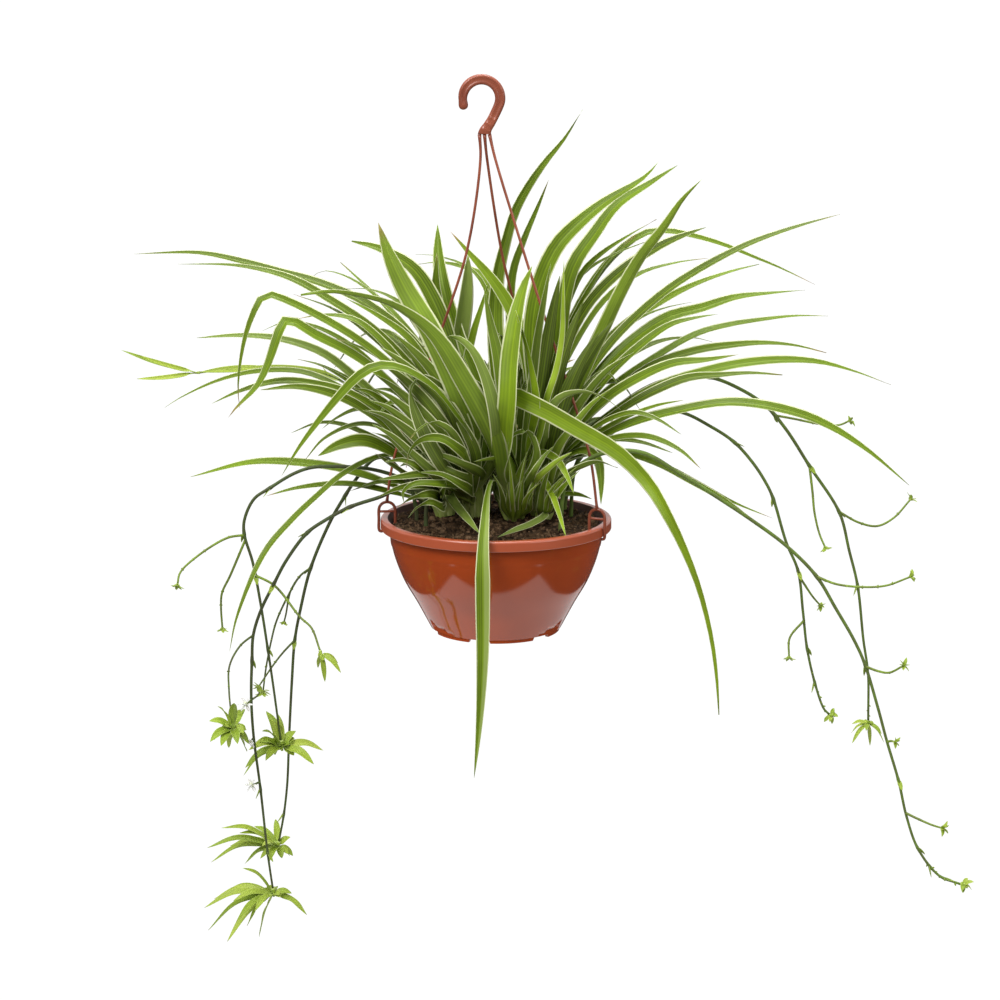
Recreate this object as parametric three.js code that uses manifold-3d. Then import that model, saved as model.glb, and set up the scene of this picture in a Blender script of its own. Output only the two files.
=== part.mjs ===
// A spider plant in a hanging plastic pot. Millimetres, +X to the right, +Y away from the front, +Z up.
// The origin is where the hook bears on what carries it: the top of the inside of its arc.
import * as THREE from "three";
import { mergeVertices } from "three/addons/utils/BufferGeometryUtils.js";
import Module from "manifold-3d";

const wasm = await Module();
wasm.setup();

// Pot: a 23 cm hanging pot with a turned-down lip
const potAxisX = 14;
const potHeight = 115;
const rimTopZ = -429.5;
const potBaseZ = rimTopZ - potHeight;
const potWall = 2;
const lipRadius = 115.5;
const lipSkirt = 10.5;
const lipInnerRadius = 108;
const lipWall = 1.8;
const footRadius = 64;
const footRing = 4;
const footHeight = 4;
const footNotches = { count: 6, width: 21, height: 3.4 };
const drainHoles = { count: 4, radius: 5, circle: 38 };
const wallOutline = [
  [66, 4],
  [79.5, 29.5],
  [93.8, 55],
  [104.3, 86],
  [105.6, 106],
];

// Soil
const seatGap = 0.3;
const soilBelowRim = 9;
const soilMound = 5;
const soilRadius = 101.5;
const crownHoleDepth = 14;
const stemHoleDepth = 12;
const stemHoleSides = 5;

// Hanger: a hook and three strands, each ending in a clip over the lip
const throatRadius = 13.1;
const hookWidth = 10.2;
const hookThickness = 8;
const hookArcStart = 180;
const hookArcEnd = -27;
// The nose, which hangs from the start of the arc: its end and a point above it, from that start
const hookNose = [
  { x: 0.9, z: -11.2 },
  { x: 0.5, z: -6 },
];
const shankFoot = { x: 2.9, z: -47.9 };
const strandDiameter = 2.7;
const clipWire = 3;
const clipInnerRadius = 101;
const clipRise = 8.8;
const strands = [
  {
    name: "left",
    azimuth: 185,
    route: [[479.5, 135.3], [480.5, 158], [468, 246], [446, 317], [398, 444], [391, 472]],
  },
  {
    name: "right",
    azimuth: -24,
    route: [[489.5, 135.3], [494.8, 157], [515.8, 226.5], [540, 303], [577.5, 414], [590.4, 458.6]],
  },
  {
    name: "back",
    azimuth: 63,
    route: [[484.5, 135.3], [486.8, 157], [501.6, 252], [511.8, 295], [535, 400], [543, 445]],
  },
];

// Slivers that joins and cuts leave: edges and heights of triangles below these
const sliverEdge = 0.15;
const sliverHeight = 0.02;

// Foliage
const bladeThickness = 1.3;
const narrowBlade = 11.5;
const bundleHeight = 30;
const bundleTaper = 0.6;
const lowestSheath = 10;
const stemSides = 4;

// Front view: a sheet 1000 mm square, 1 mm of it being 1 mm at the pot's axis. Places on it are
// [across, down] from its top left corner, and the eye is on the line through its middle.
const sheetMiddle = 500;
const eyeDistance = 3000;
const eyeTilt = THREE.MathUtils.degToRad(12);
const aim = new THREE.Vector3(potAxisX + 4, 0, rimTopZ + 16.9);

// The point that is seen at a place on the sheet and lies at a depth, which is its Y.
function seen([across, down], depth) {
  const cos = Math.cos(eyeTilt);
  const sin = Math.sin(eyeTilt);
  const rise = sheetMiddle - down;
  const sight = new THREE.Vector3(
    across - sheetMiddle,
    eyeDistance * cos + rise * sin,
    rise * cos - eyeDistance * sin,
  );
  const eye = new THREE.Vector3(0, -eyeDistance * cos, eyeDistance * sin).add(aim);
  return eye.addScaledVector(sight, (depth - eye.y) / sight.y);
}

// Where a point is seen on the sheet.
function onSheet(point) {
  const cos = Math.cos(eyeTilt);
  const sin = Math.sin(eyeTilt);
  const p = point.clone().sub(aim);
  const shrink = eyeDistance / (eyeDistance + p.y * cos - p.z * sin);
  return [sheetMiddle + p.x * shrink, sheetMiddle - (p.z * cos + p.y * sin) * shrink];
}

// How far along a route on the front view each of its places is.
function walkedLengths(route) {
  let total = 0;
  return route.map((place, i) => {
    if (i > 0) total += Math.hypot(place[0] - route[i - 1][0], place[1] - route[i - 1][1]);
    return total;
  });
}

// A repeatable stream of numbers from 0 to 1.
function seededDraws(seed) {
  let state = seed;
  return () => {
    state = (state * 16807) % 2147483647;
    return state / 2147483647;
  };
}

// Solids

function solidFrom(points, triangles) {
  const vertProperties = new Float32Array(points.flatMap((p) => [p.x, p.y, p.z]));
  const triVerts = new Uint32Array(triangles.flat());
  const mesh = new wasm.Mesh({ numProp: 3, vertProperties, triVerts });
  return new wasm.Manifold(mesh);
}

function solidOf(geometry) {
  const bare = geometry.clone();
  bare.deleteAttribute("normal");
  bare.deleteAttribute("uv");
  const merged = mergeVertices(bare, 1e-3);
  const vertProperties = new Float32Array(merged.attributes.position.array);
  const triVerts = new Uint32Array(merged.index.array);
  return new wasm.Manifold(new wasm.Mesh({ numProp: 3, vertProperties, triVerts }));
}

// The one connected body of a solid, with any pocket sealed inside it filled.
function mainBody(solid) {
  const bodies = solid.decompose();
  return bodies.reduce((best, body) => (body.volume() > best.volume() ? body : best));
}

function joined(solids) {
  return mainBody(solids.reduce((sum, solid) => sum.add(solid)));
}

// A closed skin over rings of points, each turning anticlockwise as seen from the rings after it.
// It ends in a flat cap, or in a tip where one is given.
function loft(rings, tip) {
  const sides = rings[0].length;
  const points = rings.flat();
  const triangles = [];
  for (let k = 1; k < sides - 1; k++) triangles.push([0, k + 1, k]);
  for (let i = 0; i < rings.length - 1; i++) {
    for (let k = 0; k < sides; k++) {
      const a = i * sides + k;
      const b = i * sides + ((k + 1) % sides);
      // The skin is split alike on both faces of a blade, so that they stay parallel.
      const likeOtherFace = k < sides / 2;
      if (likeOtherFace) triangles.push([a, b, b + sides], [a, b + sides, a + sides]);
      else triangles.push([a, b, a + sides], [b, b + sides, a + sides]);
    }
  }
  const last = (rings.length - 1) * sides;
  if (tip) {
    points.push(tip);
    for (let k = 0; k < sides; k++) {
      triangles.push([last + k, last + ((k + 1) % sides), points.length - 1]);
    }
  } else {
    for (let k = 1; k < sides - 1; k++) triangles.push([last, last + k, last + k + 1]);
  }
  return solidFrom(points, triangles);
}

function smoothThrough(points) {
  return new THREE.CatmullRomCurve3(points, false, "centripetal");
}

function circleShape(radius, sides) {
  const corners = Array.from({ length: sides }, (_, k) => {
    const angle = (2 * Math.PI * k) / sides;
    return new THREE.Vector2(radius * Math.cos(angle), radius * Math.sin(angle));
  });
  return new THREE.Shape(corners);
}

function rod(curve, radius, sides, steps) {
  const options = { steps, bevelEnabled: false, extrudePath: curve };
  return solidOf(new THREE.ExtrudeGeometry(circleShape(radius, sides), options));
}

function uprightCylinder(radius, topRadius, height, sides, x, y, baseZ) {
  const geometry = new THREE.CylinderGeometry(topRadius, radius, height, sides);
  geometry.rotateX(Math.PI / 2);
  geometry.translate(x, y, baseZ + height / 2);
  return solidOf(geometry);
}

// Pot and soil

function lathe(outline, segments) {
  const profile = outline.map(([r, z]) => new THREE.Vector2(r, z));
  const geometry = new THREE.LatheGeometry(profile, segments);
  geometry.rotateX(Math.PI / 2);
  return geometry;
}

function wallPoints(steps) {
  const curve = new THREE.SplineCurve(wallOutline.map(([r, z]) => new THREE.Vector2(r, z)));
  return curve.getPoints(steps).map((p) => [p.x, p.y]);
}

function makePot() {
  const outside = wallPoints(5);
  const floorZ = footHeight + potWall;
  const inside = wallPoints(4)
    .slice(1)
    .map(([r, z]) => [r - potWall, z])
    .reverse();
  const lipTop = potHeight;
  const skirtFoot = potHeight - lipSkirt;
  const outline = [
    [0, footHeight],
    [footRadius - footRing, footHeight],
    [footRadius - footRing, 0],
    [footRadius, 0],
    ...outside,
    [lipInnerRadius + 1.6, lipTop - potWall - 0.6],
    [lipRadius - lipWall, lipTop - potWall],
    [lipRadius - lipWall, skirtFoot],
    [lipRadius, skirtFoot],
    [lipRadius, lipTop - 2.6],
    [lipRadius - 2.6, lipTop],
    [lipInnerRadius + 1.2, lipTop],
    [lipInnerRadius, lipTop - 1.2],
    ...inside,
    [footRadius - 0.5, floorZ],
    [0, floorZ],
  ];
  let pot = solidOf(lathe(outline, 36));
  for (let i = 0; i < footNotches.count; i++) {
    const notch = new THREE.BoxGeometry(footRing * 5, footNotches.width, footNotches.height * 2);
    notch.translate(footRadius, 0, 0);
    notch.rotateZ((2 * Math.PI * (i + 0.25)) / footNotches.count);
    pot = pot.subtract(solidOf(notch));
  }
  for (let i = 0; i < drainHoles.count; i++) {
    const angle = (2 * Math.PI * i) / drainHoles.count;
    const x = drainHoles.circle * Math.cos(angle);
    const y = drainHoles.circle * Math.sin(angle);
    pot = pot.subtract(uprightCylinder(drainHoles.radius, drainHoles.radius, 12, 8, x, y, 0));
  }
  return pot.translate([potAxisX, 0, potBaseZ]);
}

function soilTopZ(x, y) {
  const share = Math.min(1, Math.hypot(x - potAxisX, y) / soilRadius);
  return rimTopZ - soilBelowRim + soilMound * (1 - share * share);
}

function makeSoil() {
  const floorZ = footHeight + potWall + seatGap;
  const wall = wallPoints(4)
    .slice(1, -1)
    .map(([r, z]) => [r - potWall - 2 * seatGap, z]);
  const rings = [80, 50];
  const outline = [
    [0, floorZ],
    [footRadius - 1.5, floorZ],
    ...wall,
    [soilRadius, potHeight - soilBelowRim],
    ...rings.map((r) => [r, potHeight]),
    [0, potHeight],
  ];
  const geometry = lathe(outline, 26);
  const place = geometry.attributes.position;
  for (let i = 0; i < place.count; i++) {
    const x = place.getX(i);
    const y = place.getY(i);
    if (place.getZ(i) < potHeight) continue;
    const lumps = 1.1 * Math.sin(0.16 * x + 1) * Math.cos(0.19 * y) + 0.7 * Math.sin(0.31 * (x - y));
    place.setZ(i, soilTopZ(x + potAxisX, y) - potBaseZ + lumps);
  }
  let soil = solidOf(geometry).translate([potAxisX, 0, potBaseZ]);
  for (const crown of crowns) {
    const { x, y } = crownPlace(crown);
    const holeZ = soilTopZ(x, y) - crownHoleDepth;
    const radius = crown.core + seatGap * 1.2;
    soil = soil.subtract(uprightCylinder(radius, radius, 60, 10, x, y, holeZ));
  }
  for (const runner of runners) {
    const { x, y } = runnerFoot(runner);
    const holeZ = soilTopZ(x, y) - stemHoleDepth;
    const radius = (runner.radius + 1.3 * seatGap) / Math.cos(Math.PI / stemHoleSides);
    soil = soil.subtract(uprightCylinder(radius, radius, 60, stemHoleSides, x, y, holeZ));
  }
  return mainBody(soil);
}

// Hanger

function makeHook() {
  const radius = throatRadius + hookWidth / 2;
  const line = hookNose.map(({ x, z }) => new THREE.Vector3(x - radius, 0, z - throatRadius));
  for (let angle = hookArcStart; angle >= hookArcEnd; angle -= 12) {
    const turn = THREE.MathUtils.degToRad(angle);
    line.push(new THREE.Vector3(radius * Math.cos(turn), 0, radius * Math.sin(turn) - throatRadius));
  }
  line.push(new THREE.Vector3(10, 0, -34.4));
  line.push(new THREE.Vector3(shankFoot.x + 1, 0, -44.5));
  line.push(new THREE.Vector3(shankFoot.x, 0, shankFoot.z));
  const curve = smoothThrough(line);
  // Width and thickness along the hook: a rounded nose, an even arc and a foot that takes three strands
  const stations = [
    [0, 3.2, 3],
    [0.012, 7, 6],
    [0.04, 9.2, 7.6],
    [0.09, 8.4, 7.6],
    [0.17, 9.6, hookThickness],
    [0.26, hookWidth, hookThickness],
    [0.34, hookWidth, hookThickness],
    [0.42, hookWidth, hookThickness],
    [0.5, hookWidth, hookThickness],
    [0.58, hookWidth, hookThickness],
    [0.66, hookWidth, hookThickness],
    [0.74, 10, hookThickness],
    [0.84, 9.8, hookThickness],
    [0.93, 10.4, 7],
    [1, 13.2, 6],
  ];
  const side = new THREE.Vector3(0, 1, 0);
  const rings = stations.map(([along, width, thickness]) => {
    const middle = curve.getPointAt(along);
    const ahead = along === 1 ? new THREE.Vector3(0, 0, -1) : curve.getTangentAt(along);
    const outward = new THREE.Vector3().crossVectors(side, ahead);
    const groove = 0.16 * eased(along, 0, 0.04) * (1 - eased(along, 0.93, 1));
    const section = [
      [-0.5, -0.28],
      [-0.42, -0.5],
      [-0.26, -0.5],
      [-0.17, groove - 0.5],
      [0.17, groove - 0.5],
      [0.26, -0.5],
      [0.42, -0.5],
      [0.5, -0.28],
    ];
    const otherHalf = section.map(([w, t]) => [-w, -t]);
    return [...section, ...otherHalf].map(([w, t]) =>
      middle.clone().addScaledVector(outward, w * width).addScaledVector(side, t * thickness),
    );
  });
  return loft(rings);
}

// A place in the upright plane through the pot's axis at an azimuth.
function onRadius(azimuth, radius, z) {
  const turn = THREE.MathUtils.degToRad(azimuth);
  return new THREE.Vector3(potAxisX + radius * Math.cos(turn), radius * Math.sin(turn), z);
}

function makeStrand(strand) {
  const legRadius = lipRadius + seatGap + clipWire / 2;
  const archRadius = (legRadius - clipInnerRadius) / 2;
  const archMiddle = clipInnerRadius + archRadius;
  const at = (radius, rise) => onRadius(strand.azimuth, radius, rimTopZ + rise);
  const arch = [];
  for (let i = 0; i <= 6; i++) {
    const turn = Math.PI - (Math.PI * i) / 6;
    arch.push(at(archMiddle + archRadius * Math.cos(turn), clipRise + archRadius * Math.sin(turn)));
  }
  const lugRise = -lipSkirt - 3 * seatGap - clipWire / 2;
  const clipLine = smoothThrough([
    at(clipInnerRadius, -6),
    at(clipInnerRadius, 1),
    ...arch,
    at(legRadius, 0),
    at(legRadius, lugRise + 2.4),
    at(legRadius - 1, lugRise + 0.4),
    at(legRadius - 3.6, lugRise),
  ]);
  const barLine = new THREE.LineCurve3(at(clipInnerRadius, 7.4), at(legRadius, 7.4));
  const archTop = at(archMiddle, clipRise + archRadius);
  const [topDown, archDown] = [strand.route[0][1], onSheet(archTop)[1]];
  const places = strand.route.map(([across, down]) => {
    const share = (down - topDown) / (archDown - topDown);
    return seen([across, down], archTop.y * share);
  });
  places[0].z = shankFoot.z - seatGap;
  const strandLine = smoothThrough([...places, archTop]);
  return joined([
    rod(strandLine, strandDiameter / 2, 6, 10),
    rod(clipLine, clipWire / 2, 6, 12),
    rod(barLine, clipWire / 2 - 0.2, 5, 1),
  ]);
}

// Blades

// How wide a blade is along its length, as a share of its widest.
function bladeShape(share) {
  const widestAt = 0.36;
  if (share < widestAt) {
    const t = share / widestAt;
    return 0.62 + 0.38 * t * t * (3 - 2 * t);
  }
  const past = (share - widestAt) / (1 - widestAt);
  return Math.pow(1 - past * past, 0.85);
}

function eased(value, from, to) {
  const t = Math.min(1, Math.max(0, (value - from) / (to - from)));
  return t * t * (3 - 2 * t);
}

// The blade's ahead, front and face directions at a place. Its face is its upper side, and roll turns
// that towards the front. heading is the azimuth that the blade grows in.
function bladeFrame(ahead, heading, roll) {
  const frontwards = Math.cos(heading) > 0 ? -1 : 1;
  const across = new THREE.Vector3(-Math.sin(heading), Math.cos(heading), 0);
  const front = across.multiplyScalar(frontwards);
  front.addScaledVector(ahead, -front.dot(ahead)).normalize();
  const face = new THREE.Vector3().crossVectors(ahead, front).multiplyScalar(frontwards);
  const turnedFace = face
    .clone()
    .multiplyScalar(Math.cos(roll))
    .addScaledVector(front, Math.sin(roll));
  const turnedFront = front
    .clone()
    .multiplyScalar(Math.cos(roll))
    .addScaledVector(face, -Math.sin(roll));
  return { front: turnedFront, face: turnedFace, frontwards };
}

// A closed blade along a curve that narrows to a tip. Its section is a channel of four corners, or of
// three, filled, where it is small.
function blade(curve, options) {
  const { width, heading, stations, roll = 0, sides = 4 } = options;
  const { fold = 55, thickness = bladeThickness } = options;
  const rings = [];
  for (let i = 0; i < stations - 1; i++) {
    const share = i / (stations - 1);
    const middle = curve.getPointAt(share);
    const ahead = curve.getTangentAt(share);
    const turn = THREE.MathUtils.degToRad(roll) * eased(share, 0.08, 0.4);
    const { front, face, frontwards } = bladeFrame(ahead, heading, turn);
    const opening = THREE.MathUtils.degToRad(fold - (fold - 18) * eased(share, 0, 0.5));
    const half = (width / 2) * bladeShape(share);
    const reach = half * Math.cos(opening);
    const lift = half * Math.sin(opening);
    const thick = thickness * (1 - 0.35 * share);
    const corner = (f, n) =>
      middle
        .clone()
        .addScaledVector(front, f)
        .addScaledVector(face, n - lift * 0.4);
    const [near, under, far] = [corner(reach, lift), corner(0, -thick / 2), corner(-reach, lift)];
    const over = sides === 4 ? [corner(0, thick / 2)] : [];
    rings.push(frontwards > 0 ? [near, ...over, far, under] : [near, under, far, ...over]);
  }
  return loft(rings, curve.getPointAt(1));
}

// A stem of a few sides that narrows along a curve. Where start is given, it has a ring there too, so
// that it stays straight up to that share of the curve.
function stem(curve, radius, endRadius, steps, sides = stemSides, start = 0) {
  const shares = Array.from({ length: steps + 1 }, (_, i) => start + ((1 - start) * i) / steps);
  if (start > 0) shares.unshift(0);
  const normal = new THREE.Vector3(0, 1, 0);
  const rings = shares.map((share) => {
    const middle = curve.getPointAt(share);
    const ahead = curve.getTangentAt(share);
    normal.addScaledVector(ahead, -normal.dot(ahead)).normalize();
    const binormal = new THREE.Vector3().crossVectors(ahead, normal);
    const r = radius + (endRadius - radius) * share;
    return Array.from({ length: sides }, (_, k) => {
      const angle = (2 * Math.PI * k) / sides;
      return middle
        .clone()
        .addScaledVector(normal, r * Math.cos(angle))
        .addScaledVector(binormal, r * Math.sin(angle));
    });
  });
  return loft(rings);
}

// Crowns: the rosettes that stand side by side in the soil. across and depth are from the pot's axis.
// A leaf's route is read on the front view from its tip to where the other leaves hide it.
// Its depth is that of its tip, or depths gives each point's. roll turns its face to the front.
const crowns = [
  {
    name: "left",
    across: -52,
    depth: 30,
    core: 11,
    leaves: [
      { depth: 40, width: 12, roll: 15, route: [
        [190, 477], [254, 462], [311, 464], [350, 471], [400, 489],
      ] },
      { depth: -5, width: 9, roll: 12, route: [[266, 496], [300, 487.5], [350, 484], [400, 495]] },
      { depth: 20, width: 13, roll: 15, route: [
        [196, 338], [240, 335.5], [280, 339], [320, 352], [348, 372], [405, 428],
      ] },
      { depth: 75, width: 10, roll: 8, route: [
        [164, 408], [180, 398], [220, 380], [262, 371], [310, 374], [365, 405], [418, 455],
      ] },
      { depth: -20, width: 12, roll: 18, route: [
        [211, 404], [240, 391], [280, 381], [320, 385], [350, 394], [395, 422], [422, 452],
      ] },
      { depth: -55, width: 13, roll: 20, route: [
        [260, 390], [300, 387], [345, 399], [390, 430], [420, 462],
      ] },
      { depth: -38, width: 13, roll: 34, route: [
        [318, 456], [340, 445], [365, 441], [400, 458], [425, 477],
      ] },
      { depth: -60, width: 8, roll: 30, route: [[375, 453], [395, 467], [420, 484]] },
      { depth: -75, width: 11, roll: 22, route: [
        [229.5, 652], [237, 617], [265, 552], [292, 520], [315, 498], [345, 473], [385, 456],
        [420, 465],
      ] },
      { depth: 60, width: 8, roll: 12, route: [
        [291, 433], [318, 423], [340, 424], [378, 440], [415, 462],
      ] },
      { depth: 0, width: 8, roll: 15, route: [
        [322, 429], [335, 419], [360, 409], [390, 422], [420, 452],
      ] },
      { depth: 5, width: 8, roll: 20, route: [
        [305, 460], [325, 438], [360, 424], [390, 432], [420, 460],
      ] },
      { depth: 10, width: 8, roll: 20, route: [[350, 491], [380, 482], [405, 483], [425, 492]] },
      { depth: 66, width: 8, roll: 12, route: [
        [262, 331], [283, 323], [310, 325], [350, 345], [390, 383], [425, 432],
      ] },
      { depth: 72, width: 8, roll: 10, route: [
        [297, 359], [320, 365], [350, 380], [390, 408], [425, 445],
      ] },
      { depth: 45, width: 8, roll: 15, route: [[315, 362], [340, 376], [380, 404], [420, 445]] },
      { depth: 5, width: 14, roll: 30, route: [[352, 388], [370, 393], [400, 418], [430, 457]] },
    ],
  },
  {
    name: "mid_left",
    across: -20,
    depth: 20,
    core: 12,
    leaves: [
      { depth: -25, width: 12, roll: 28, route: [
        [240, 409], [238.5, 398], [239, 375], [246, 335], [259, 304], [270, 296.5], [285, 300],
        [320, 317], [355, 338], [390, 365], [425, 402], [455, 440],
      ] },
      { depth: -38, width: 13, roll: 30, route: [
        [228, 418], [236, 408], [258, 385], [268, 365], [280, 330], [290, 321], [315, 337], [345, 350],
        [372, 368], [405, 398], [445, 440],
      ] },
      { depth: 15, width: 12, roll: 20, route: [
        [345, 298], [375, 314], [408, 338], [430, 370], [455, 415], [465, 440],
      ] },
      { depth: 60, width: 12, roll: 18, route: [
        [296, 319], [325, 315], [355, 320], [385, 345], [420, 390], [455, 440],
      ] },
      { depth: 95, width: 8, roll: 20, route: [
        [342, 289], [370, 289.5], [400, 303], [428, 338], [455, 400],
      ] },
      { depth: 130, width: 7, roll: 10, route: [
        [293, 294], [335, 310], [372, 337], [415, 380], [450, 430],
      ] },
      { depth: 10, width: 8, roll: 20, route: [
        [335, 339], [350, 343], [388, 364], [425, 405], [458, 447],
      ] },
      { depth: 12, width: 13, roll: 25, route: [[371, 389], [392, 391], [412, 408], [440, 445]] },
      { depth: 35, width: 16, roll: 40, route: [
        [351, 241], [380, 249], [412, 268], [433, 300], [450, 345], [465, 405],
      ] },
      { depth: 5, width: 17, roll: 62, route: [
        [378, 222], [388, 252], [405, 288], [430, 330], [455, 385], [470, 432],
      ] },
      { depth: -85, width: 10, roll: 28, route: [
        [281, 477], [300, 446], [340, 395], [360, 375], [378, 366], [400, 368], [438, 390], [465, 435],
      ] },
      { depth: -60, width: 10, roll: 30, route: [
        [417, 437], [413, 410], [411, 390], [420, 378], [440, 388], [462, 430],
      ] },
      { depth: -62, width: 12, roll: 35, route: [
        [406, 468], [410, 450], [422, 439], [440, 438], [458, 449], [470, 470],
      ] },
      { depth: -45, width: 9, roll: 30, route: [
        [408, 442], [417, 431], [432, 422.5], [447, 428], [464, 458],
      ] },
      { depth: -75, width: 9, roll: 30, route: [[398, 452], [427, 452], [450, 458], [468, 475]] },
      { depth: -78, width: 10, roll: 30, route: [[480, 534], [468, 520], [458, 508], [458, 500]] },
    ],
  },
  {
    name: "centre",
    across: 18,
    depth: 12,
    core: 13,
    leaves: [
      { depth: -95, width: 18, roll: 50, route: [
        [300, 295], [330, 291.5], [360, 295.5], [395, 306], [432, 333], [463, 380], [492, 435],
      ] },
      { depth: 25, width: 15, roll: 55, route: [
        [450, 231], [468, 252], [489, 276], [508, 304], [521, 335], [530, 375], [528, 430],
      ] },
      { depth: -20, width: 17, roll: 65, route: [
        [532.6, 265], [524, 285], [516, 309], [511, 357], [509, 400], [510, 440],
      ] },
      { depth: 112, width: 14, roll: 60, route: [
        [583, 109], [564, 139], [545, 162], [527, 188], [514, 213], [506, 240], [498, 274], [495, 330],
        [503, 400],
      ] },
      { depth: 0, width: 17, roll: 60, route: [
        [659, 161], [646, 176], [604, 203], [577, 225], [557, 247], [540, 285], [532, 330], [534, 385],
        [527, 435],
      ] },
      { depths: [-140, -140, -139, -138, -134, -126, -106, -66, -38], width: 17, route: [
        [474, 779], [478, 740], [481, 700], [483, 650], [483, 600], [483, 555], [485, 520], [488, 492],
        [493, 480],
      ] },
      { depths: [-176, -174, -170, -162, -152, -138, -118, -90, -56, -34, -14, 0], width: 18, roll: 30,
        route: [
        [719, 716], [717, 680], [712, 640], [700, 590], [685, 550], [668, 515], [650, 485], [620, 454],
        [575, 428], [545, 410], [522, 408], [514, 440],
      ] },
      { depth: -60, width: 8, roll: 30, route: [[473, 462], [490, 459], [505, 459], [512, 470]] },
      { depth: -75, width: 9, roll: 40, route: [
        [574, 494], [566, 474], [555, 458], [540, 453], [525, 463],
      ] },
      { depth: -82, width: 7, roll: 35, route: [
        [566, 537], [558, 510], [550, 490], [540, 477], [528, 478],
      ] },
      { depth: 130, width: 11, roll: 45, route: [
        [437.5, 224], [439, 262], [446, 300], [462, 350], [485, 410],
      ] },
      { depth: 165, width: 9, roll: 20, route: [
        [404, 268], [420, 264], [440, 262.5], [462, 266.5], [480, 274], [492, 295], [502, 350],
        [510, 410],
      ] },
    ],
  },
  {
    name: "right",
    across: 46,
    depth: 24,
    core: 12,
    leaves: [
      { depth: -20, width: 15, roll: 22, route: [
        [910, 486], [867, 450], [829, 426], [795, 412.5], [733, 402.5], [670, 412.5], [639, 421],
        [604, 436], [568, 460],
      ] },
      { depth: 55, width: 14, roll: 20, route: [
        [891.5, 385], [856, 372], [818, 362], [782, 360], [746, 363], [711, 370], [660, 386],
        [615, 412], [572, 447],
      ] },
      { depth: 20, width: 10, roll: 14, route: [
        [783, 375], [751, 373], [720, 375], [688, 378], [657, 390], [625, 408], [575, 447],
      ] },
      { depth: 110, width: 12, roll: 12, route: [
        [829, 316], [795, 316], [760, 320], [729, 325], [697, 334], [650, 361], [610, 390], [570, 432],
      ] },
      { depth: 80, width: 13, roll: 18, route: [
        [827, 353], [795, 345.5], [762, 343], [729, 345.5], [695, 351], [650, 367], [610, 398],
        [570, 440],
      ] },
      { depth: 65, width: 15, roll: 24, route: [
        [806, 290], [773, 293], [735, 297.5], [702, 308], [670, 316.5], [644, 332], [610, 362],
        [580, 402], [560, 440],
      ] },
      { depth: 35, width: 11, roll: 20, route: [
        [718.5, 314], [695, 318], [670, 325], [640, 346], [605, 380], [568, 432],
      ] },
      { depth: 90, width: 13, roll: 16, route: [
        [841, 214], [795.5, 227], [751, 243], [711, 263], [675, 285], [646, 308], [612, 342],
        [580, 388], [558, 432],
      ] },
      { depth: -40, width: 14, roll: 28, route: [
        [739, 354.5], [706, 360], [675, 363], [645, 375], [605, 400], [570, 438],
      ] },
      { depth: -50, width: 8, roll: 15, route: [
        [684, 400], [655, 406], [625, 418], [590, 438], [565, 458],
      ] },
      { depth: -66, width: 8, roll: 15, route: [
        [682, 435], [657, 419], [635, 412.5], [608, 420], [580, 440], [560, 462],
      ] },
      { depth: 145, width: 9, roll: 15, route: [
        [713, 342], [695, 338], [670, 339], [645, 347], [610, 370], [575, 418],
      ] },
      { depth: -22, width: 10, roll: 34, route: [
        [621, 410], [606, 399], [586, 392], [563, 396], [549, 412], [543, 445],
      ] },
      { depth: -15, width: 10, roll: 18, route: [
        [788, 546], [755, 523], [720, 498], [690, 481], [655, 463], [620, 453], [585, 455], [560, 468],
      ] },
      { depth: 15, width: 8, roll: 15, route: [
        [773, 518.5], [735, 503], [700, 484], [665, 466], [628, 455], [590, 455], [562, 466],
      ] },
      { depth: -78, width: 9, roll: 20, route: [
        [701, 469], [680, 450], [650, 437], [620, 437], [590, 447], [562, 464],
      ] },
      { depth: -30, width: 8, roll: 15, route: [
        [673, 453], [640, 442], [610, 440], [580, 450], [560, 464],
      ] },
      { depth: -25, width: 15, roll: 52, route: [
        [702, 179], [682, 200], [664, 227], [641.5, 256], [621, 292], [604, 328], [588, 362],
        [570, 405], [556, 442],
      ] },
      { depth: -60, width: 10, roll: 30, route: [
        [601, 505], [601, 478], [598, 461], [588, 451], [570, 455], [556, 468],
      ] },
      { depth: 20, width: 8, roll: 20, route: [[592, 499], [577, 494.5], [562, 495], [552, 502]] },
      { depth: -88, width: 8, roll: 30, route: [[497, 537.5], [515, 529], [530, 521], [540, 508]] },
      { depth: 85, width: 7, roll: 15, route: [
        [692, 302], [665, 308], [640, 318], [610, 341], [575, 390], [556, 430],
      ] },
    ],
  },
  {
    name: "back_left",
    across: -32,
    depth: 64,
    core: 12,
    leaves: [
      { depth: 150, width: 13, roll: 10, route: [
        [133, 254], [200, 253], [240, 261], [280, 272], [320, 283], [370, 306], [420, 350], [450, 405],
      ] },
      { depth: 120, width: 12, roll: 10, route: [
        [177, 264], [240, 266], [290, 278], [330, 300], [375, 331], [420, 378], [452, 425],
      ] },
      { depth: 200, width: 10, roll: 10, route: [
        [340, 262], [352, 273], [375, 295], [410, 335], [445, 390],
      ] },
      { depth: 175, width: 8, roll: 10, route: [
        [311, 278], [322, 271], [345, 276], [376, 296], [415, 338], [448, 395],
      ] },
      { depth: 85, width: 17, roll: 50, route: [
        [437, 252], [436, 285], [441, 320], [449, 365], [456, 410],
      ] },
      { depth: 110, width: 15, roll: 45, route: [
        [468, 254], [467, 278], [465, 301], [462, 340], [463, 400],
      ] },
    ],
    spread: { seed: 12, count: 5, headings: [92, 150], reach: [130, 210], lift: [110, 180] },
  },
  {
    name: "back_right",
    across: 26,
    depth: 62,
    core: 12,
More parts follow.
